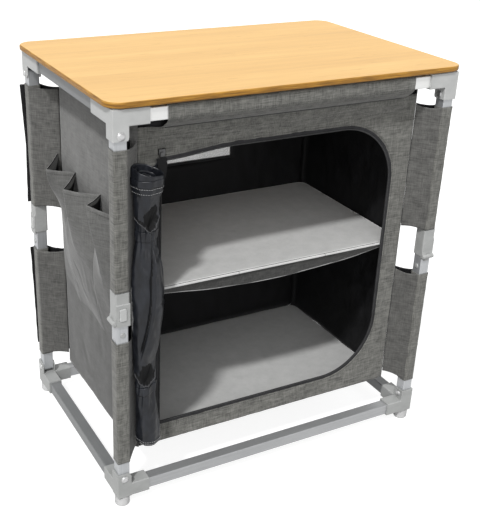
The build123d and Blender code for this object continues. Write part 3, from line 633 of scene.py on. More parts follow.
def front_depth(x, z, share):
    """The front's y: soft folds between its edges, puckered along the zip and the corners."""
    edge = bump(share) ** 0.7
    ripple = wob(x, 0, z, 34, 1) * 1.1 + wob(x, 3, z, 90, 2) * 2.2 + FRONT_FOLDS.at(x, z)
    near_zip = (1 - share) ** 2
    pucker = near_zip * 0.9 * wob(x, 1, z, 11, 3) + share ** 4 * 0.7 * wob(x, 9, z, 9, 5)
    return FRONT_Y - edge * ripple - pucker * 0.8 - 0.5 - lean_out(x, z)


OPENING = opening_loop()
panel("front_panel", OPENING, 14, front_depth, True)


def round_opening(inward, y, step=5.0):
    """Points round the opening, on its outline moved inward."""
    moved = []
    for i, (x, z) in enumerate(OPENING):
        (ax, az), (bx, bz) = OPENING[i - 1], OPENING[(i + 1) % len(OPENING)]
        wx, wz = bx - ax, bz - az
        size = math.hypot(wx, wz)
        moved.append((x + wz / size * inward, y, z - wx / size * inward))
    return round_line(moved, step)


for piece in (
    ribbon("opening_zip_tape", round_opening(2.2, FRONT_Y + 0.2), AHEAD, 7.0, 1.6, TAPE, True),
    ribbon("opening_zip_coil", round_opening(5.6, FRONT_Y + 0.1), AHEAD, 2.6, 2.4, TAPE, True),
    dashes("opening_zip_teeth", round_opening(5.6, FRONT_Y - 1.0, 4.0), AHEAD, DARK_THREAD, 1.1, 1.0, 2.2, 0.6, True),
    dashes("opening_stitches", round_opening(-3.0, FRONT_Y - 0.6, 4.0), AHEAD, DARK_THREAD, closed=True),
):
    stand_in(piece)


# Side walls

SIDE_TOP = 641.0
SIDE_BULGE = {-1: 6.0, 1: 2.5}
# Plan of the right wall, by the share of its length from front to back.
WALL_STOPS = (0.0, 0.035, 0.055, 0.945, 0.965, 1.0)
PLAN_X = list(zip(WALL_STOPS, (TURN, SIDE_X - 1.2, SIDE_X, SIDE_X, SIDE_X - 1.2, TURN)))
PLAN_Y = list(zip(WALL_STOPS, (FRONT_Y, FRONT_Y + 6.4, FRONT_Y + 12, BACK_Y - 12, BACK_Y - 6.4, BACK_Y)))
WALL_FOLDS = {sign: Creases(11 + sign, 70, (-150, 140), (90, 630), (10, 60), 55, 6.0, 1.5) for sign in (-1, 1)}


def wall_bulge(sign, u, x, y, z):
    """How far a side wall stands out of its plane."""
    belly = bump((u - 0.03) / 0.94) ** 0.8 * bump((z - 60) / 640) ** 0.7
    ripple = wob(x, y, z, 60, 4 + sign) * 1.6 + wob(x, y + z * 0.35, z, 26, 6 + sign) * 0.6
    ripple += WALL_FOLDS[sign].at(y, z)
    return SIDE_BULGE[sign] * belly + ripple * bump(u) ** 0.5


def side_wall(sign):
    def shape(u, v):
        x, y = table_at(PLAN_X, u), table_at(PLAN_Y, u)
        z = lerp(BOX_BOTTOM + 1, SIDE_TOP, v)
        return sign * (x + wall_bulge(sign, u, x, y, z)), y, z

    return cloth("side_wall", 66, 108, shape, [GREY_SIDE, LINING], 1.2, flip=sign < 0)


# Corner webs between the cupboard and the leg sleeves

# Each web's lowest and highest point at the wall's seam and at the leg, above and below the hinge.
WEB_HEIGHTS = (((384.0, 594.0), (381.0, 594.0)), ((96.0, 303.0), (85.0, 298.5)))


def web_sheet(side_x, side_y, start, end, seam, leg, seed):
    """One corner web, from plan point start to plan point end on the front right pattern."""
    (ax, ay), (bx, by) = start, end
    length = math.hypot(bx - ax, by - ay)
    nx, ny = (by - ay) / length, -(bx - ax) / length
    folds = Creases(100 + seed, 16, (4, length - 4), (seam[0], seam[1]), (35, 50), 26, 4.0, 1.6)

    def shape(u, v):
        low = lerp(seam[0], leg[0], u) + 3.0 * bump(u)
        high = lerp(seam[1], leg[1], u) - 3.0 * bump(u)
        z = lerp(low, high, v)
        fold = 1.4 * math.sin(z / 27 + seed) * wob(u * 30, seed * 9, z, 60, 8) + folds.at(u * length, z)
        out = bump(u) ** 0.6 * (1.8 * bump(v) + fold)
        return side_x * (lerp(ax, bx, u) + nx * out), side_y * (lerp(ay, by, u) + ny * out), z

    return cloth("web", 18, 80, shape, [GREY_WEB_SHADED, LINING], 0.9, flip=side_x * side_y > 0)


def corner_web_sheets(side_x, side_y):
    """The four webs of a corner: from the panel and from the side wall, upper and lower."""
    box_y = side_y * WALL_Y[side_y]
    near, far = SLEEVE - 1.2, SLEEVE - 0.5
    from_panel = ((TURN + 0.8, box_y + 0.6), (LEG_X - near, LEG_Y + far))
    from_side = ((SIDE_X + 0.6, box_y - 8.5), (LEG_X + far, LEG_Y - near))
    made = []
    for n, (start, end) in enumerate((from_panel, from_side)):
        for m, (seam, leg) in enumerate(WEB_HEIGHTS):
            web = web_sheet(side_x, side_y, start, end, seam, leg, side_x * 2 + side_y + n * 5 + m * 3)
            if n:
                web.data.flip_normals()
            made.append(web)
    return made


for sign, side in ((-1, "left"), (1, "right")):
    sheets = [side_wall(sign)] + corner_web_sheets(sign, -1) + corner_web_sheets(sign, 1)
    stand_in(join(side + "_side_cloth", sheets), side + "_panel")


# Back wall with its net window

NET_HALF = 84.0
NET_LOW, NET_HIGH = 430.0, 560.0
BACK_FOLDS = Creases(9, 90, (-235, 235), (90, 605), (20, 70), 70, 6.0, 2.0)


def back_depth(x, z, share):
    fold = wob(x, 0, z * 0.25, 16, 11) * 1.3 + wob(x, 5, z, 80, 12) * 2.6 + BACK_FOLDS.at(x, z)
    return BACK_Y + bump(share) ** 0.6 * fold


WINDOW = [(-NET_HALF, NET_HIGH), (NET_HALF, NET_HIGH), (NET_HALF, NET_LOW), (-NET_HALF, NET_LOW)]
panel("back_panel", WINDOW, 26, back_depth, False)


def strip(verts, faces, low, high):
    """Adds a thin box between two corners to a mesh being made."""
    start = len(verts)
    verts += product(*zip(low, high))
    for face in ((0, 1, 3, 2), (4, 6, 7, 5), (0, 4, 5, 1), (2, 3, 7, 6), (0, 2, 6, 4), (1, 5, 7, 3)):
        faces.append([start + i for i in face])


def net():
    """The window's net: upright threads with level ones laid over them."""
    pitch, thread = 1.4, 0.62
    verts, faces = [], []
    y = BACK_Y - 0.6
    for i in range(int(2 * NET_HALF / pitch)):
        x = -NET_HALF + (i + 0.5) * pitch
        strip(verts, faces, (x - thread / 2, y, NET_LOW), (x + thread / 2, y + 0.3, NET_HIGH))
    for i in range(int((NET_HIGH - NET_LOW) / pitch)):
        z = NET_LOW + (i + 0.5) * pitch
        strip(verts, faces, (-NET_HALF, y + 0.3, z - thread / 2), (NET_HALF, y + 0.6, z + thread / 2))
    return mesh("back_window_net", verts, faces, [NET], shade=False)


window_edge = round_line([(x, BACK_Y, z) for x, z in WINDOW], 4.0)
for piece in (net(), ribbon("back_window_binding", window_edge, (0, 1, 0), 9.0, 2.6, TAPE, True)):
    stand_in(piece)


# Floor cloth, shelves


def board(name, half_x, y_low, y_high, z_top, thick, radius, materials, seed, edge=0.0):
    """A cloth-covered board with rounded corners, a bevelled edge and a slightly uneven top."""
    cell = 8.0
    mid_y = (y_low + y_high) / 2
    half_y = (y_high - y_low) / 2

    def shape(u, v):
        x, y = (2 * u - 1) * half_x, (2 * v - 1) * half_y
        over_x = max(0.0, abs(x) - (half_x - radius))
        over_y = max(0.0, abs(y) - (half_y - radius))
        far = math.hypot(over_x, over_y)
        if over_x > 0 and over_y > 0 and far > radius:
            pull = radius / far
            x = math.copysign(half_x - radius + over_x * pull, x)
            y = math.copysign(half_y - radius + over_y * pull, y)
        return x, mid_y + y, z_top + wob(x, y, 0, 70, seed) * 0.35

    made = cloth(name, int(2 * half_x / cell), int((y_high - y_low) / cell), shape, materials, thick)
    if edge:
        bevel = made.modifiers.new("edge", "BEVEL")
        bevel.width = edge / 1000
        bevel.segments = 2
    return made


MID_TOP = 358.5
floor_cloth = board("floor_cloth", 247.0, FRONT_Y + 2.5, BACK_Y - 2.5, PANEL_LOW, 1.5, 8, [LINING, GREY], 21)
low_board = board("bottom_shelf_board", 245.3, FRONT_Y + 4.2, BACK_Y - 4.2, 85.1, 2.9, 14, [SHELF], 22, 0.8)
mid_board = board("middle_shelf_board", 245.3, FRONT_Y + 5.0, BACK_Y - 4.2, MID_TOP, 3.9, 14, [SHELF], 23, 0.8)
stand_in(floor_cloth, "floor_panel", "base")
stand_in(low_board, "bottom_shelf", "base")


def box_row(name, spans, y_low, y_high, z_low, z_high, material):
    """Bars along X with a small bevel in front, one for each span."""
    cut_off = 0.7
    profile = [
        (y_high, z_high), (y_low + cut_off, z_high), (y_low, z_high - cut_off),
        (y_low, z_low + cut_off), (y_low + cut_off, z_low), (y_high, z_low),
    ]
    count = len(profile)
    verts, faces = [], []
    for span in spans:
        start = len(verts)
        verts += [(x, y, z) for x in span for y, z in profile]
        faces += quads(count, 2, count, False, start)
        faces.append([start + i for i in range(count)][::-1])
        faces.append([start + count + i for i in range(count)])
    return mesh(name, verts, faces, [material], shade=False)


def edge_highlight_cord(half_x, y_low, y_high, z, radius):
    """A painted highlight along a board's edge, drawn as a thin light cord round it."""
    x, low, high = half_x - radius, y_low + radius, y_high - radius
    outline = []
    for n, (cx, cy) in enumerate(((x, high), (-x, high), (-x, low), (x, low))):
        outline += [(*point, z) for point in arc(cx, cy, radius, 90 * n, 90 * n + 90, 6)]
    return ribbon("edge_highlight_cord", round_line(outline, 9.0), (0, 0, 1), 1.5, 1.5, SHELF_EDGE_HIGHLIGHT, True)


VALANCE_HALF = 232


def valance_drop(x):
    return 3.0 + 21 * bump((x + VALANCE_HALF) / (2 * VALANCE_HALF)) ** 0.8 + 1.2 * wob(x, 0, 0, 60, 31)


def valance():
    """The cloth under the shelf's front edge, darkened as painted shade, hanging in a shallow curve and leaning back.
    """
    def shape(u, v):
        x = lerp(-VALANCE_HALF, VALANCE_HALF, u)
        z = MID_TOP - 4.5 - v * valance_drop(x)
        return x, FRONT_Y + 3.4 + 1.6 * v * wob(x, 0, z, 40, 32) + 6.0 * v, z

    return cloth("valance", 90, 9, shape, [VALANCE, LINING], 1.0, flip=True)


EDGE_SPANS = ((-231.0, -70.0), (-68.8, 92.0), (93.2, 231.0))
GROOVE_SPAN = ((-231.0, 231.0),)
hem = [(x, FRONT_Y + 9.2, MID_TOP - 4.6 - valance_drop(x)) for x in range(-230, 231, 10)]
mid_shelf = join("middle_shelf_cloth", [
    mid_board,
    # The groove behind the edge strip is a near-black bar: painted shade in the recess.
    box_row("groove_painted_shade", GROOVE_SPAN, FRONT_Y + 3.3, FRONT_Y + 5.6, MID_TOP - 4.0, MID_TOP - 0.6, TAPE),
    edge_highlight_cord(245.3, FRONT_Y + 6.2, BACK_Y - 4.2, MID_TOP - 0.4, 14),
    ribbon("hem_line", hem, AHEAD, 1.2, 1.0, THREAD),
    box_row("edge", EDGE_SPANS, FRONT_Y + 1.4, FRONT_Y + 3.3, MID_TOP - 3.9, MID_TOP - 0.3, EDGE),
    valance(),
])
stand_in(mid_shelf, "middle_shelf", "middle_shelf")


# Leg sleeves


def square_ring(half, corner, count):
    """Points round a rounded square, from its right side."""
    found = []
    for i in range(count):
        turn = 2 * math.pi * i / count
        c, s = math.cos(turn), math.sin(turn)
        power = 2 + 16 * (1 - corner / half) ** 4
        size = (abs(c) ** power + abs(s) ** power) ** (-1 / power)
        found.append((c * size * half, s * size * half))
    return found


def sleeve(level, corner, low, high, seed):
    side_x, side_y = CORNERS[corner]
    count = 48
    ring = square_ring(SLEEVE, 2.2, count)
    folds = Creases(200 + seed, 34, (-38, 38), (low, high), (40, 40), 20, 3.0, 1.8)

    def shape(u, v):
        x, y = ring[round(u * count) % count]
        z = lerp(low, high, v)
        away = min(v, 1 - v) * (high - low)
        slack = 0.022 * wob(x * 3, y * 3, z, 30, seed) + 0.02 * folds.at(math.atan2(y, x) * 12, z)
        grow = 1.01 + 0.030 * math.exp(-away / 3.5) + slack
        return side_x * LEG_X + x * grow, side_y * LEG_Y + y * grow, z

    made = cloth(level + "_sleeve_cloth_" + corner, count, 90, shape, [GREY, LINING], 0.7, wrap=True)
    stand_in(made, level + "_sleeve_" + corner, level + "_leg_" + corner)


for n, corner in enumerate(CORNERS):
    sleeve("upper", corner, 382.8, 594.0, 40 + n)
    sleeve("lower", corner, 84.0, 299.0, 40 + n)


def back_fin(corner, level, low, high, widths):
    """The sewn edge that stands out beyond a back leg, black on its inner face."""
    side_x, side_y = CORNERS[corner]
    x0 = side_x * (LEG_X + SLEEVE - 1.0)
    y0 = side_y * (LEG_Y + SLEEVE - 0.6)

    def shape(u, v):
        z = lerp(low, high, v)
        width = table_at(list(zip((0, 0.5, 1), widths)), v) + 0.6 * wob(0, 0, z, 18, 56)
        bend = 1.2 * u * wob(0, 0, z, 50, 55)
        return x0 + side_x * width * u, y0 + side_y * (0.12 * width * u + bend), z

    made = cloth("fin_" + level + "_" + corner, 5, 60, shape, [LINING, GREY_WEB_SHADED], 1.0, flip=side_x < 0)
    stand_in(made, None, level + "_leg_" + corner)


for corner in ("back_left", "back_right"):
    back_fin(corner, "upper", 384.0, 592.0, (6.0, 4.0, 8.5))
    back_fin(corner, "lower", 100.0, 297.0, (2.5, 4.0, 6.5))


# Bands over the top rails

RAIL_Z = 638.5
BAND_LEFT, BAND_RIGHT = -211.0, 208.0
BAND_HALF = 10.9
# A band's way round its rail's middle, as distances out and up, from below in front to below behind.
ROUND_RAIL = (
    (9.7, -11.1), (10.9, -8.1), (11.3, 0.0), (10.9, 8.7), (8.7, 10.9),
    (-8.7, 10.9), (-10.9, 8.7), (-10.9, 0.0), (-10.3, -8.9), (-8.4, -10.8),
)


def band(side_y):
    """The cloth from a panel's top, round the rail and back under it."""
    folds = Creases(300 + side_y, 40, (BAND_LEFT, BAND_RIGHT), (0, 90), (5, 30), 40, 3.5, 0.8)
    over_rail = [(side_y * (LEG_Y + out), RAIL_Z + up) for out, up in ROUND_RAIL]
    face = side_y * (LEG_Y + BAND_HALF)

    def shape(u, v):
        x = lerp(BAND_LEFT, BAND_RIGHT, u)
        foot = WALL_Y[side_y] + side_y * lean_out(x, PANEL_TOP)
        rising = [(foot, PANEL_TOP - 0.5), (lerp(foot, face, 0.36), 616.0), (lerp(foot, face, 0.70), 621.5)]
        y, z = along(rising + over_rail, v)
        ripple = wob(x, y, z, 45, 61) * 0.5 + folds.at(x, v * 90)
        return x, y + side_y * ripple * 0.8, z + ripple * 0.4

    made = cloth("band", 160, 61, shape, [GREY, LINING], 0.9, flip=side_y < 0)
    made.data.flip_normals()
    return made


def underlap(side_y, x_low, x_high):
    """The black hem left standing behind the rail beside a band."""
    def shape(u, v):
        x = lerp(x_low, x_high, u)
        y = WALL_Y[side_y] + side_y * (lean_out(x, PANEL_TOP) * 0.8 - 2.0)
        return x, y, PANEL_TOP - 3 + 16.5 * v - 1.5 * bump(u)

    return cloth("underlap", 12, 4, shape, [LINING], 0.9)


laps = [underlap(s, *span) for s in (-1, 1) for span in ((-240.0, BAND_LEFT + 24), (BAND_RIGHT - 24, 240.0))]
stand_in(join("top_bands_cloth", [band(-1), band(1)] + laps), "top_bands", "top_frame")
seam = [(x, -LEG_Y - 11.7, RAIL_Z - 7.0) for x in (BAND_LEFT + 2, BAND_RIGHT - 2)]
stand_in(dashes("top_band_stitches", seam, AHEAD, DARK_THREAD), None, "top_frame")
seam = [(x, FRONT_Y - lean_out(x, PANEL_TOP) - 1.6, PANEL_TOP - 0.2) for x in range(-206, 205, 6)]
stand_in(ribbon("top_seam_shadow", seam, AHEAD, 1.5, 0.8, DARK_THREAD))


# Side pockets

# The wall's face at the pouches' mouths, and how far out their outer corners are.
LEFT_FACE = -255.5
POCKET_REACH = -297.5
# Each pouch's rim as distance out, place along the side and height: its gusset from the wall to the
# outer corner, then its front edge from there back to the wall.
POCKETS = (
    ((0.0, 143, 483), (0.5, 108, 482), (1.0, 76, 482.5), (0.66, 70, 480), (0.33, 64, 478.5), (0.0, 58, 478)),
    ((0.0, 58, 478), (0.5, 26, 476), (1.0, -3, 476), (0.66, -19, 475), (0.33, -34, 475.5), (0.0, -50, 478)),
    ((0.0, -50, 478), (0.5, -77, 481), (0.98, -101, 486), (0.66, -113, 480), (0.33, -126, 475), (0.0, -140, 472)),
)
POCKET_FOOT = 238.0
# How far the fold of each gusset hangs into its mouth.
PLEAT_HANG = (15, 8, 5)
# The share of the height in which each pouch leaves its mouth's shape, at the edges between pouches.
SETTLE = (0.34, 0.46, 0.80, 0.90)
# How far the filled pouches stand out below their mouths, by place along the side.
POCKET_FULL = ((-140, 4), (-122, 17), (-101, 27), (-50, 35), (0, 36), (60, 29), (90, 19), (120, 9), (143, 0))


def pocket(n, rim):
    """One gusseted pouch: its pleat, its outer corner and its front, tapering down to the wall."""
    folds = Creases(400 + n, 16, (0, 120), (POCKET_FOOT, 480), (20, 70), 45, 9.0, 1.0)
    first, last = rim[0][1], rim[-1][1]
    depth = LEFT_FACE - POCKET_REACH

    def shape(u, v):
        out, y, top = along(rim, u)
        z = lerp(top, POCKET_FOOT - 6 + 10 * bump(u), v)
        settled = smooth(v / lerp(SETTLE[n], SETTLE[n + 1], u))
        taper = 1 - (v - 0.10 * (1 - math.exp(-v / 0.10))) / 0.90
        y = lerp(y, lerp(first, last, u), settled)
        reach = lerp(out * depth, table_at(POCKET_FULL, y), settled) * taper
        loose = min(1.0, reach / 10) * bump(min(1.0, v * 1.1)) ** 0.6
        across = lerp(0.055, 0.945, (y - FRONT_Y - 12) / (BACK_Y - FRONT_Y - 24))
        wall = -SIDE_X - wall_bulge(-1, across, SIDE_X, y, z) - 0.8
        x = lerp(LEFT_FACE, wall, smooth(v / 0.6)) - reach + 2.6 * smooth((v - 0.80) / 0.20)
        x += (wob(0, y, z, 48, 70) + folds.at(u * 120, z) * bump(u) ** 0.5) * loose - 0.8 * (1 - v)
        return x, y, z

    return cloth("pocket", 61, 80, shape, [GREY_SIDE, LINING], 0.9, flip=True)


def pocket_pleat(n, rim):
    """The fold of the gusset that hangs into a pouch's mouth, still grey."""
    def shape(u, v):
        out, y, top = along(rim, u * 2 / 5)
        hang = PLEAT_HANG[n] * v * bump(u) ** 0.7
        return lerp(LEFT_FACE, POCKET_REACH, out) + 1.2, y - 1.0 - 0.3 * hang, top - 0.5 - hang

    return grid("pocket_pleat", 20, 5, shape, [HEM if n else GREY_SIDE])


def pocket_stitches(rim):
    """The hem's stitches along a pouch's front edge."""
    path = []
    for i in range(9):
        out, y, top = along(rim, lerp(0.42, 0.97, i / 8))
        path.append((lerp(LEFT_FACE, POCKET_REACH, out) - 1.2, y - 0.9, top - 6.0))
    return dashes("hem_stitches", path, (-0.4, -0.9, 0), DARK_THREAD)


pouches = [pocket(n, rim) for n, rim in enumerate(POCKETS)]
pleats = [pocket_pleat(n, rim) for n, rim in enumerate(POCKETS)]
hems = [pocket_stitches(rim) for rim in POCKETS]
stand_in(join("side_pockets_cloth", pouches + pleats + hems), "side_pockets")


# Rolled door with its ties

ROLL_X, ROLL_Y = -241.0, -188.0
ROLL_LOW, ROLL_HIGH = 112.0, 561.0
ROLL_FOLDS = Creases(77, 60, (-63, 63), (115, 530), (90, 40), 30, 2.6, 1.2)
# The direction from which the camera sees the roll. Views are degrees to the right of it.
SEEN_FROM = math.radians(-115.0)
# How far the roll's two sides stand out from its middle, by height.
LEFT_SIDE = [
    (112, 12.0), (118, 14.7), (141, 15.8), (201, 15.6), (219, 16.4), (233, 18.2), (255, 20.0), (298, 21.3),
    (340, 22.3), (385, 22.0), (413, 21.2), (433, 19.0), (448, 15.7), (460, 14.6), (479, 15.6), (498, 17.6),
    (535, 19.0), (561, 19.5),
]
RIGHT_SIDE = [
    (112, 18.0), (117, 19.3), (141, 20.3), (164, 17.8), (187, 15.0), (201, 12.8), (219, 13.3), (233, 12.5),
    (255, 12.2), (276, 14.5), (298, 17.3), (319, 19.8), (340, 22.5), (361, 23.8), (385, 24.5), (413, 22.0),
    (433, 17.2), (449, 12.5), (460, 12.8), (479, 14.6), (498, 16.7), (517, 18.3), (535, 20.5), (561, 21.0),
]
# Where the two lower ties are.
TIED_AT = (215, 466)
# Each of them draws the cloth above it into a V, given as views and heights from left to right.
GATHERS = (
    ((-95, 248), (-80, 241), (-50, 233), (-11, 223), (30, 228), (66, 237), (100, 250)),
    ((-95, 500), (-62, 491), (-29, 486), (19, 475), (50, 479), (78, 487), (110, 500)),
)
# The view in which each hollow is deepest.
DEEPEST = (10, 38)
# The door's free edge lies over the roll's right side, as heights and views.
LAYER = ((262, -32), (286, -13), (303, -1), (329, 14), (354, 22), (375, 26), (403, 24), (422, 31), (453, 44))


def view_of(turn):
    """A direction as degrees to the right of the one from which the camera sees the roll."""
    return math.degrees((turn - SEEN_FROM + math.pi) % (2 * math.pi) - math.pi)


def roll_at(turn, reach, z):
    """The point at a direction and a distance from the roll's middle."""
    return ROLL_X + math.cos(turn) * reach, ROLL_Y + math.sin(turn) * reach, z


def drawn_in(z):
    """How much the ties draw the roll in at a height."""
    return sum(math.exp(-((z - w) / 30) ** 2) for w in TIED_AT)


def gathered(z, view):
    """The hollow above each tie's V and the rolled edge along it."""
    total = 0.0
    for points, deep in zip(GATHERS, DEEPEST):
        left, right = points[0][0], points[-1][0]
        if not left < view < right:
            continue
        rise = z - table_at(points, view)
        fade = math.exp(-((view - deep) / 52) ** 2) * bump((view - left) / (right - left)) ** 0.4
        if rise > 0:
            total -= 9.5 * fade * smooth(rise / 2.5) * math.exp(-(rise / 30) ** 2)
        total += 1.5 * fade * math.exp(-((rise + 1.5) / 2.6) ** 2)
    return total


def in_hollow(z, view, waver):
    """Whether a point lies in the shadow of a hollow, down to the ledge along the V."""
    if gathered(z, view) + waver < -2.6:
        return True
    return any(
        points[0][0] + 25 < view < points[-1][0] - 20 and -0.4 < z - table_at(points, view) < 4.0
        for points in GATHERS
    )


def layered(z, view):
    """The step at the door's free edge, which lies over the roll's right side."""
    low, high = LAYER[0][0], LAYER[-1][0]
    if not low < z < high or view > 120:
        return 0.0
    edge = table_at(LAYER, z)
    strength = min(1.0, 2.5 * bump((z - low) / (high - low)))
    step = smooth((view - edge) / 3.0) * 2.4 - 2.6 * math.exp(-((view - edge + 6) / 6.0) ** 2)
    step += 1.3 * math.exp(-((view - edge - 4) / 4.0) ** 2)
    return strength * step * smooth((120 - view) / 40)


def roll_reach(z, turn):
    """The roll's radius at a height and a direction, 0 being to the right."""
    view = view_of(turn)
    angle = math.radians(view)
    pinch = min(1.0, drawn_in(z))
    left, right = table_at(LEFT_SIDE, z), table_at(RIGHT_SIDE, z)
    back = 17.0 - 5.0 * pinch
    if abs(view) <= 90:
        reach = lerp(left, right, (math.sin(angle) + 1) / 2)
    else:
        reach = lerp(right if view > 0 else left, back, smooth((abs(view) - 90) / 90))
    reach += gathered(z, view) + layered(z, view)
    length_folds = math.sin(angle * 4 + z / 70) * 0.5 + math.sin(angle * 7 - z / 41) * 0.35
    gather = pinch * (math.sin(angle * 9 + z / 19) * 0.9 + math.sin(angle * 15 - z / 27) * 0.5)
    cross = 1.5 * math.exp(-((z - 362 - (view - 60) * 0.15) / 4.0) ** 2) * bump((view - 25) / 80)
    turn_x, turn_y = math.cos(turn) * 30, math.sin(turn) * 30
    soft = wob(turn_x, turn_y, z * 0.45, 20, 81) * 1.6 + wob(turn_x, turn_y, z * 0.9, 9, 82) * 0.6
    soft += ROLL_FOLDS.at(view * 0.35, z)
    return max(6.0, reach + length_folds + gather + soft - cross)


def skewed(z, turn):
    """How far the roll's upper end lies above or below its height, as it is rolled at a slant."""
    return 5.0 * math.sin(turn - 0.9) * smooth((z - 520) / 40)


def door_roll():
    """The outside of the roll, with a second material in its shadows."""
    def shape(u, v):
        z = lerp(ROLL_LOW, ROLL_HIGH, v)
        turn = 2 * math.pi * u
        hem = 1.0 * smooth((z - 527) / 2) + 0.9 * smooth((ROLL_LOW + 12 - z) / 2)
        end = 1 - 0.10 * smooth((ROLL_LOW + 5 - z) / 5)
        return roll_at(turn, (roll_reach(z, turn) + hem) * end, z + skewed(z, turn))

    made = grid("roll_outer", 112, 225, shape, [DOOR, DEEP], wrap=True)
    for face in made.data.polygons:
        middle = face.center
        x, y, z = middle.x * 1000 - ROLL_X, (middle.y * 1000 - SHIFT_Y) - ROLL_Y, middle.z * 1000
        view = view_of(math.atan2(y, x))
        if in_hollow(z, view, 0.8 * wob(x, y, z, 7, 98)) or layered(z, view) < -1.9:
            face.material_index = 1
    return thicken(made, 1.2)


def door_turns(low, high):
    """The inner turns of the roll, seen at one of its open ends."""
    def shape(u, v):
        turn = 2 * math.pi * 2.3 * u + 2.2
        reach = lerp(15.5, 4.0, u) + 0.8 * math.sin(turn * 3)
        z = lerp(low, high - 7 * u, v)
        z += skewed(z, turn)
        reach *= 1 - 0.5 * min(1.0, drawn_in(z))
        return ROLL_X + math.cos(turn) * reach * 1.05, ROLL_Y + math.sin(turn) * reach * 0.9, z

    return cloth("roll_inner", 150, 12, shape, [DOOR], 0.8, side=0.0)


def door_core():
    """The turns inside the roll, drawn in wherever its hollows are."""
    def shape(u, v):
        z = lerp(ROLL_LOW + 22, ROLL_HIGH - 34, v)
        turn = 2 * math.pi * 3.3 * u + 2.2
        room = min(roll_reach(z + dz, turn) for dz in (-7, -3.5, 0, 3.5, 7))
        return roll_at(turn, (room - 2.5) * lerp(0.88, 0.2, u), z)

    return cloth("roll_core", 170, 60, shape, [DOOR], 0.5, side=0.0)


def door_corner():
    """The door's free corner beside the slider, with the dark tab the slider hangs from."""
    def shape(u, v):
        x = lerp(lerp(-216, -214, v), lerp(-201, -206, v ** 2), u)
        z = lerp(566, 526 + 7 * abs(u - 0.6), v)
        return x, FRONT_Y - 5.5 - 2.5 * bump(v) - 1.5 * u, z

    # The piece is all in the door's painted-shade material, darker than the door cloth.
    return cloth("door_corner", 12, 24, shape, [DEEP], 1.4)


def door_flap():
    """The part of the door between the left edge of the opening and the roll."""
    def shape(u, v):
        z = lerp(OPEN_LOW + 4, OPEN_HIGH - 14, v)
        turn = math.radians(40)
        x, y, _ = roll_at(turn, roll_reach(z, turn) - 2.0, z)
        sag = 2.0 * bump(u) + 1.2 * bump(u) * wob(0, 0, z, 40, 84)
        return lerp(OPEN_LEFT - 1.0, x, u), lerp(FRONT_Y - 1.6, y, u) - sag, z

    return cloth("roll_flap", 10, 110, shape, [DOOR], 1.0)


roll = join("rolled_door_cloth", [
    door_roll(), door_turns(ROLL_HIGH - 34, ROLL_HIGH - 4), door_turns(ROLL_LOW + 3, ROLL_LOW + 22), door_core(),
    door_flap(), door_corner(),
])
stand_in(roll, "rolled_door")


def tie(z, height, lift, slant, seed):
    """A strap round the roll."""
    def shape(u, v):
        turn = 2 * math.pi * u
        at = z + (v - 0.5) * height + slant * math.cos(turn) + 0.8 * wob(turn * 8, 0, z, 9, seed)
        return roll_at(turn, roll_reach(at, turn) + lift, at)

    return cloth("tie", 72, 9, shape, [DOOR], 1.0, wrap=True)


def gather_edge(points):
    """A paler line along the rolled edge of the cloth at a tie's V: a painted highlight."""
    path = []
    for i in range(41):
        view = lerp(points[0][0] + 22, points[-1][0] - 14, i / 40)
        z = table_at(points, view) - 1.0
        turn = SEEN_FROM + math.radians(view)
        path.append(roll_at(turn, roll_reach(z, turn) + 0.5, z))
    return ribbon("edge", path, (math.cos(SEEN_FROM), math.sin(SEEN_FROM), 0.3), 0.8, 0.8, V_EDGE_HIGHLIGHT)


ties = [tie(546.0, 10.0, 2.0, 0.0, 91), tie(466.0, 15.0, 1.2, 1.0, 92), tie(214.0, 14.0, 1.2, 5.0, 93)]
edges = [gather_edge(points) for points in GATHERS]
stand_in(join("door_ties_cloth", ties + edges), "door_ties")


def ring_stitches(z, lift):
    """Stitches round the roll, each facing outward."""
    turns = [2 * math.pi * i / 60 for i in range(60)]
    ring = [roll_at(turn, roll_reach(z, turn) + lift, z) for turn in turns]
    places = []
    for point, way in spaced(ring, 3.4, True):
        out = Vector((point.x - ROLL_X, point.y - ROLL_Y, 0)).normalized()
        places.append((point, way, Vector((0, 0, 1)), out))
    return lozenges("stitch_row", places, 2.3, 0.7, 0.4, THREAD)


# The heights of the rows of stitches at the roll's two hems, and how far they lie out from the cloth.
STITCH_ROWS = ((539.0, 1.9), (531.5, 1.6), (ROLL_LOW + 9.0, 1.2), (ROLL_LOW + 4.5, 0.9))
stand_in(join("roll_stitches", [ring_stitches(*row) for row in STITCH_ROWS]))


# Floor, light and camera


def rays_seen(tree, *kinds):
    """1 for rays of the kinds named and 0 for the others."""
    path = add(tree, "ShaderNodeLightPath")
    seen = path.outputs[kinds[0]]
    for kind in kinds[1:]:
        seen = calc(tree, "MAXIMUM", seen, path.outputs[kind])
    return seen


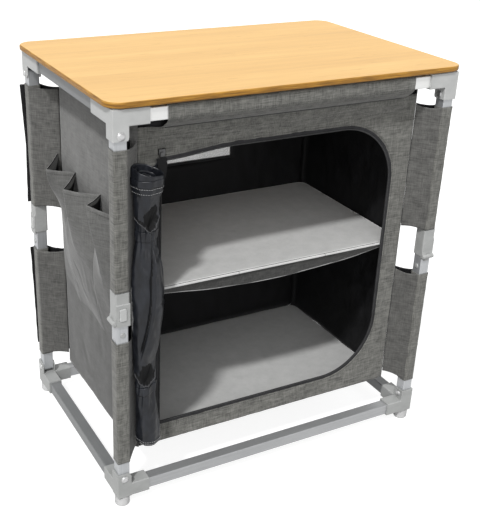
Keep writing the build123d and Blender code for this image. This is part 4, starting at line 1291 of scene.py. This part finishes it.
def floor_material():
    """Pale ground that looks white to the camera and catches the shadow."""
    made, tree, shader = new_material("studio_floor")
    speckle = noise_at(tree, (3, 3, 3), 2.0)
    seen = rays_seen(tree, "Is Camera Ray", "Is Glossy Ray")
    put(tree, shader, {
        "Base Color": ramp(tree, speckle, [(0.2, 0.27), (0.8, 0.31)]),
        "Roughness": 0.9, "Specular IOR Level": 0.0, "Emission Color": (1, 1, 1, 1),
        "Emission Strength": calc(tree, "MULTIPLY", seen, 0.86),
    })
    return made


FLOOR_HALF = 9000.0
floor_corners = [(x * FLOOR_HALF, y * FLOOR_HALF, 0) for x, y in CORNERS.values()]
floor = mesh("studio_floor", floor_corners, [(0, 1, 2, 3)], [floor_material()])

world = bpy.data.worlds.new("studio")
scene.world = world
world.use_nodes = True
tree = world.node_tree
seen = rays_seen(tree, "Is Camera Ray", "Is Glossy Ray", "Is Transmission Ray")
put(tree, tree.nodes["Background"], {0: (1, 1, 1, 1), 1: spread_over(tree, seen, 0.80, 1.0, 0.0, 1.0)})


def sun(name, way, energy, spread):
    data = bpy.data.lights.new(name, "SUN")
    data.energy = energy
    data.angle = math.radians(spread)
    made = bpy.data.objects.new(name, data)
    made.rotation_mode = "QUATERNION"
    made.rotation_quaternion = Vector(way).to_track_quat("-Z", "Y")
    scene.collection.objects.link(made)


sun("key", (0.471, 0.401, -0.786), 2.65, 4.5)
sun("fill", (0.43, 0.80, -0.42), 0.95, 50)

CAMERA_AT = (-725.82, -1261.58, 983.39)
AZIMUTH, ELEVATION, ROLL = math.radians(-28.578), math.radians(25.002), math.radians(1.878)
# The focal length and the picture's height in its own pixels.
FOCAL, HEIGHT = 913.827, 525
SENSOR = 36
camera_data = bpy.data.cameras.new("camera")
camera_data.sensor_width = SENSOR
camera_data.lens = SENSOR * FOCAL / HEIGHT
camera_data.shift_x = 0.06
camera_data.shift_y = -0.0137
camera_data.clip_start = 0.05
camera_data.clip_end = 50
camera = bpy.data.objects.new("camera", camera_data)
turned = Matrix.Rotation(AZIMUTH, 4, "Z") @ Matrix.Rotation(math.pi / 2 - ELEVATION, 4, "X")
camera.matrix_world = Matrix.Translation(P(*CAMERA_AT)) @ turned @ Matrix.Rotation(ROLL, 4, "Z")
scene.collection.objects.link(camera)
scene.camera = camera
scene.view_settings.view_transform = "Standard"
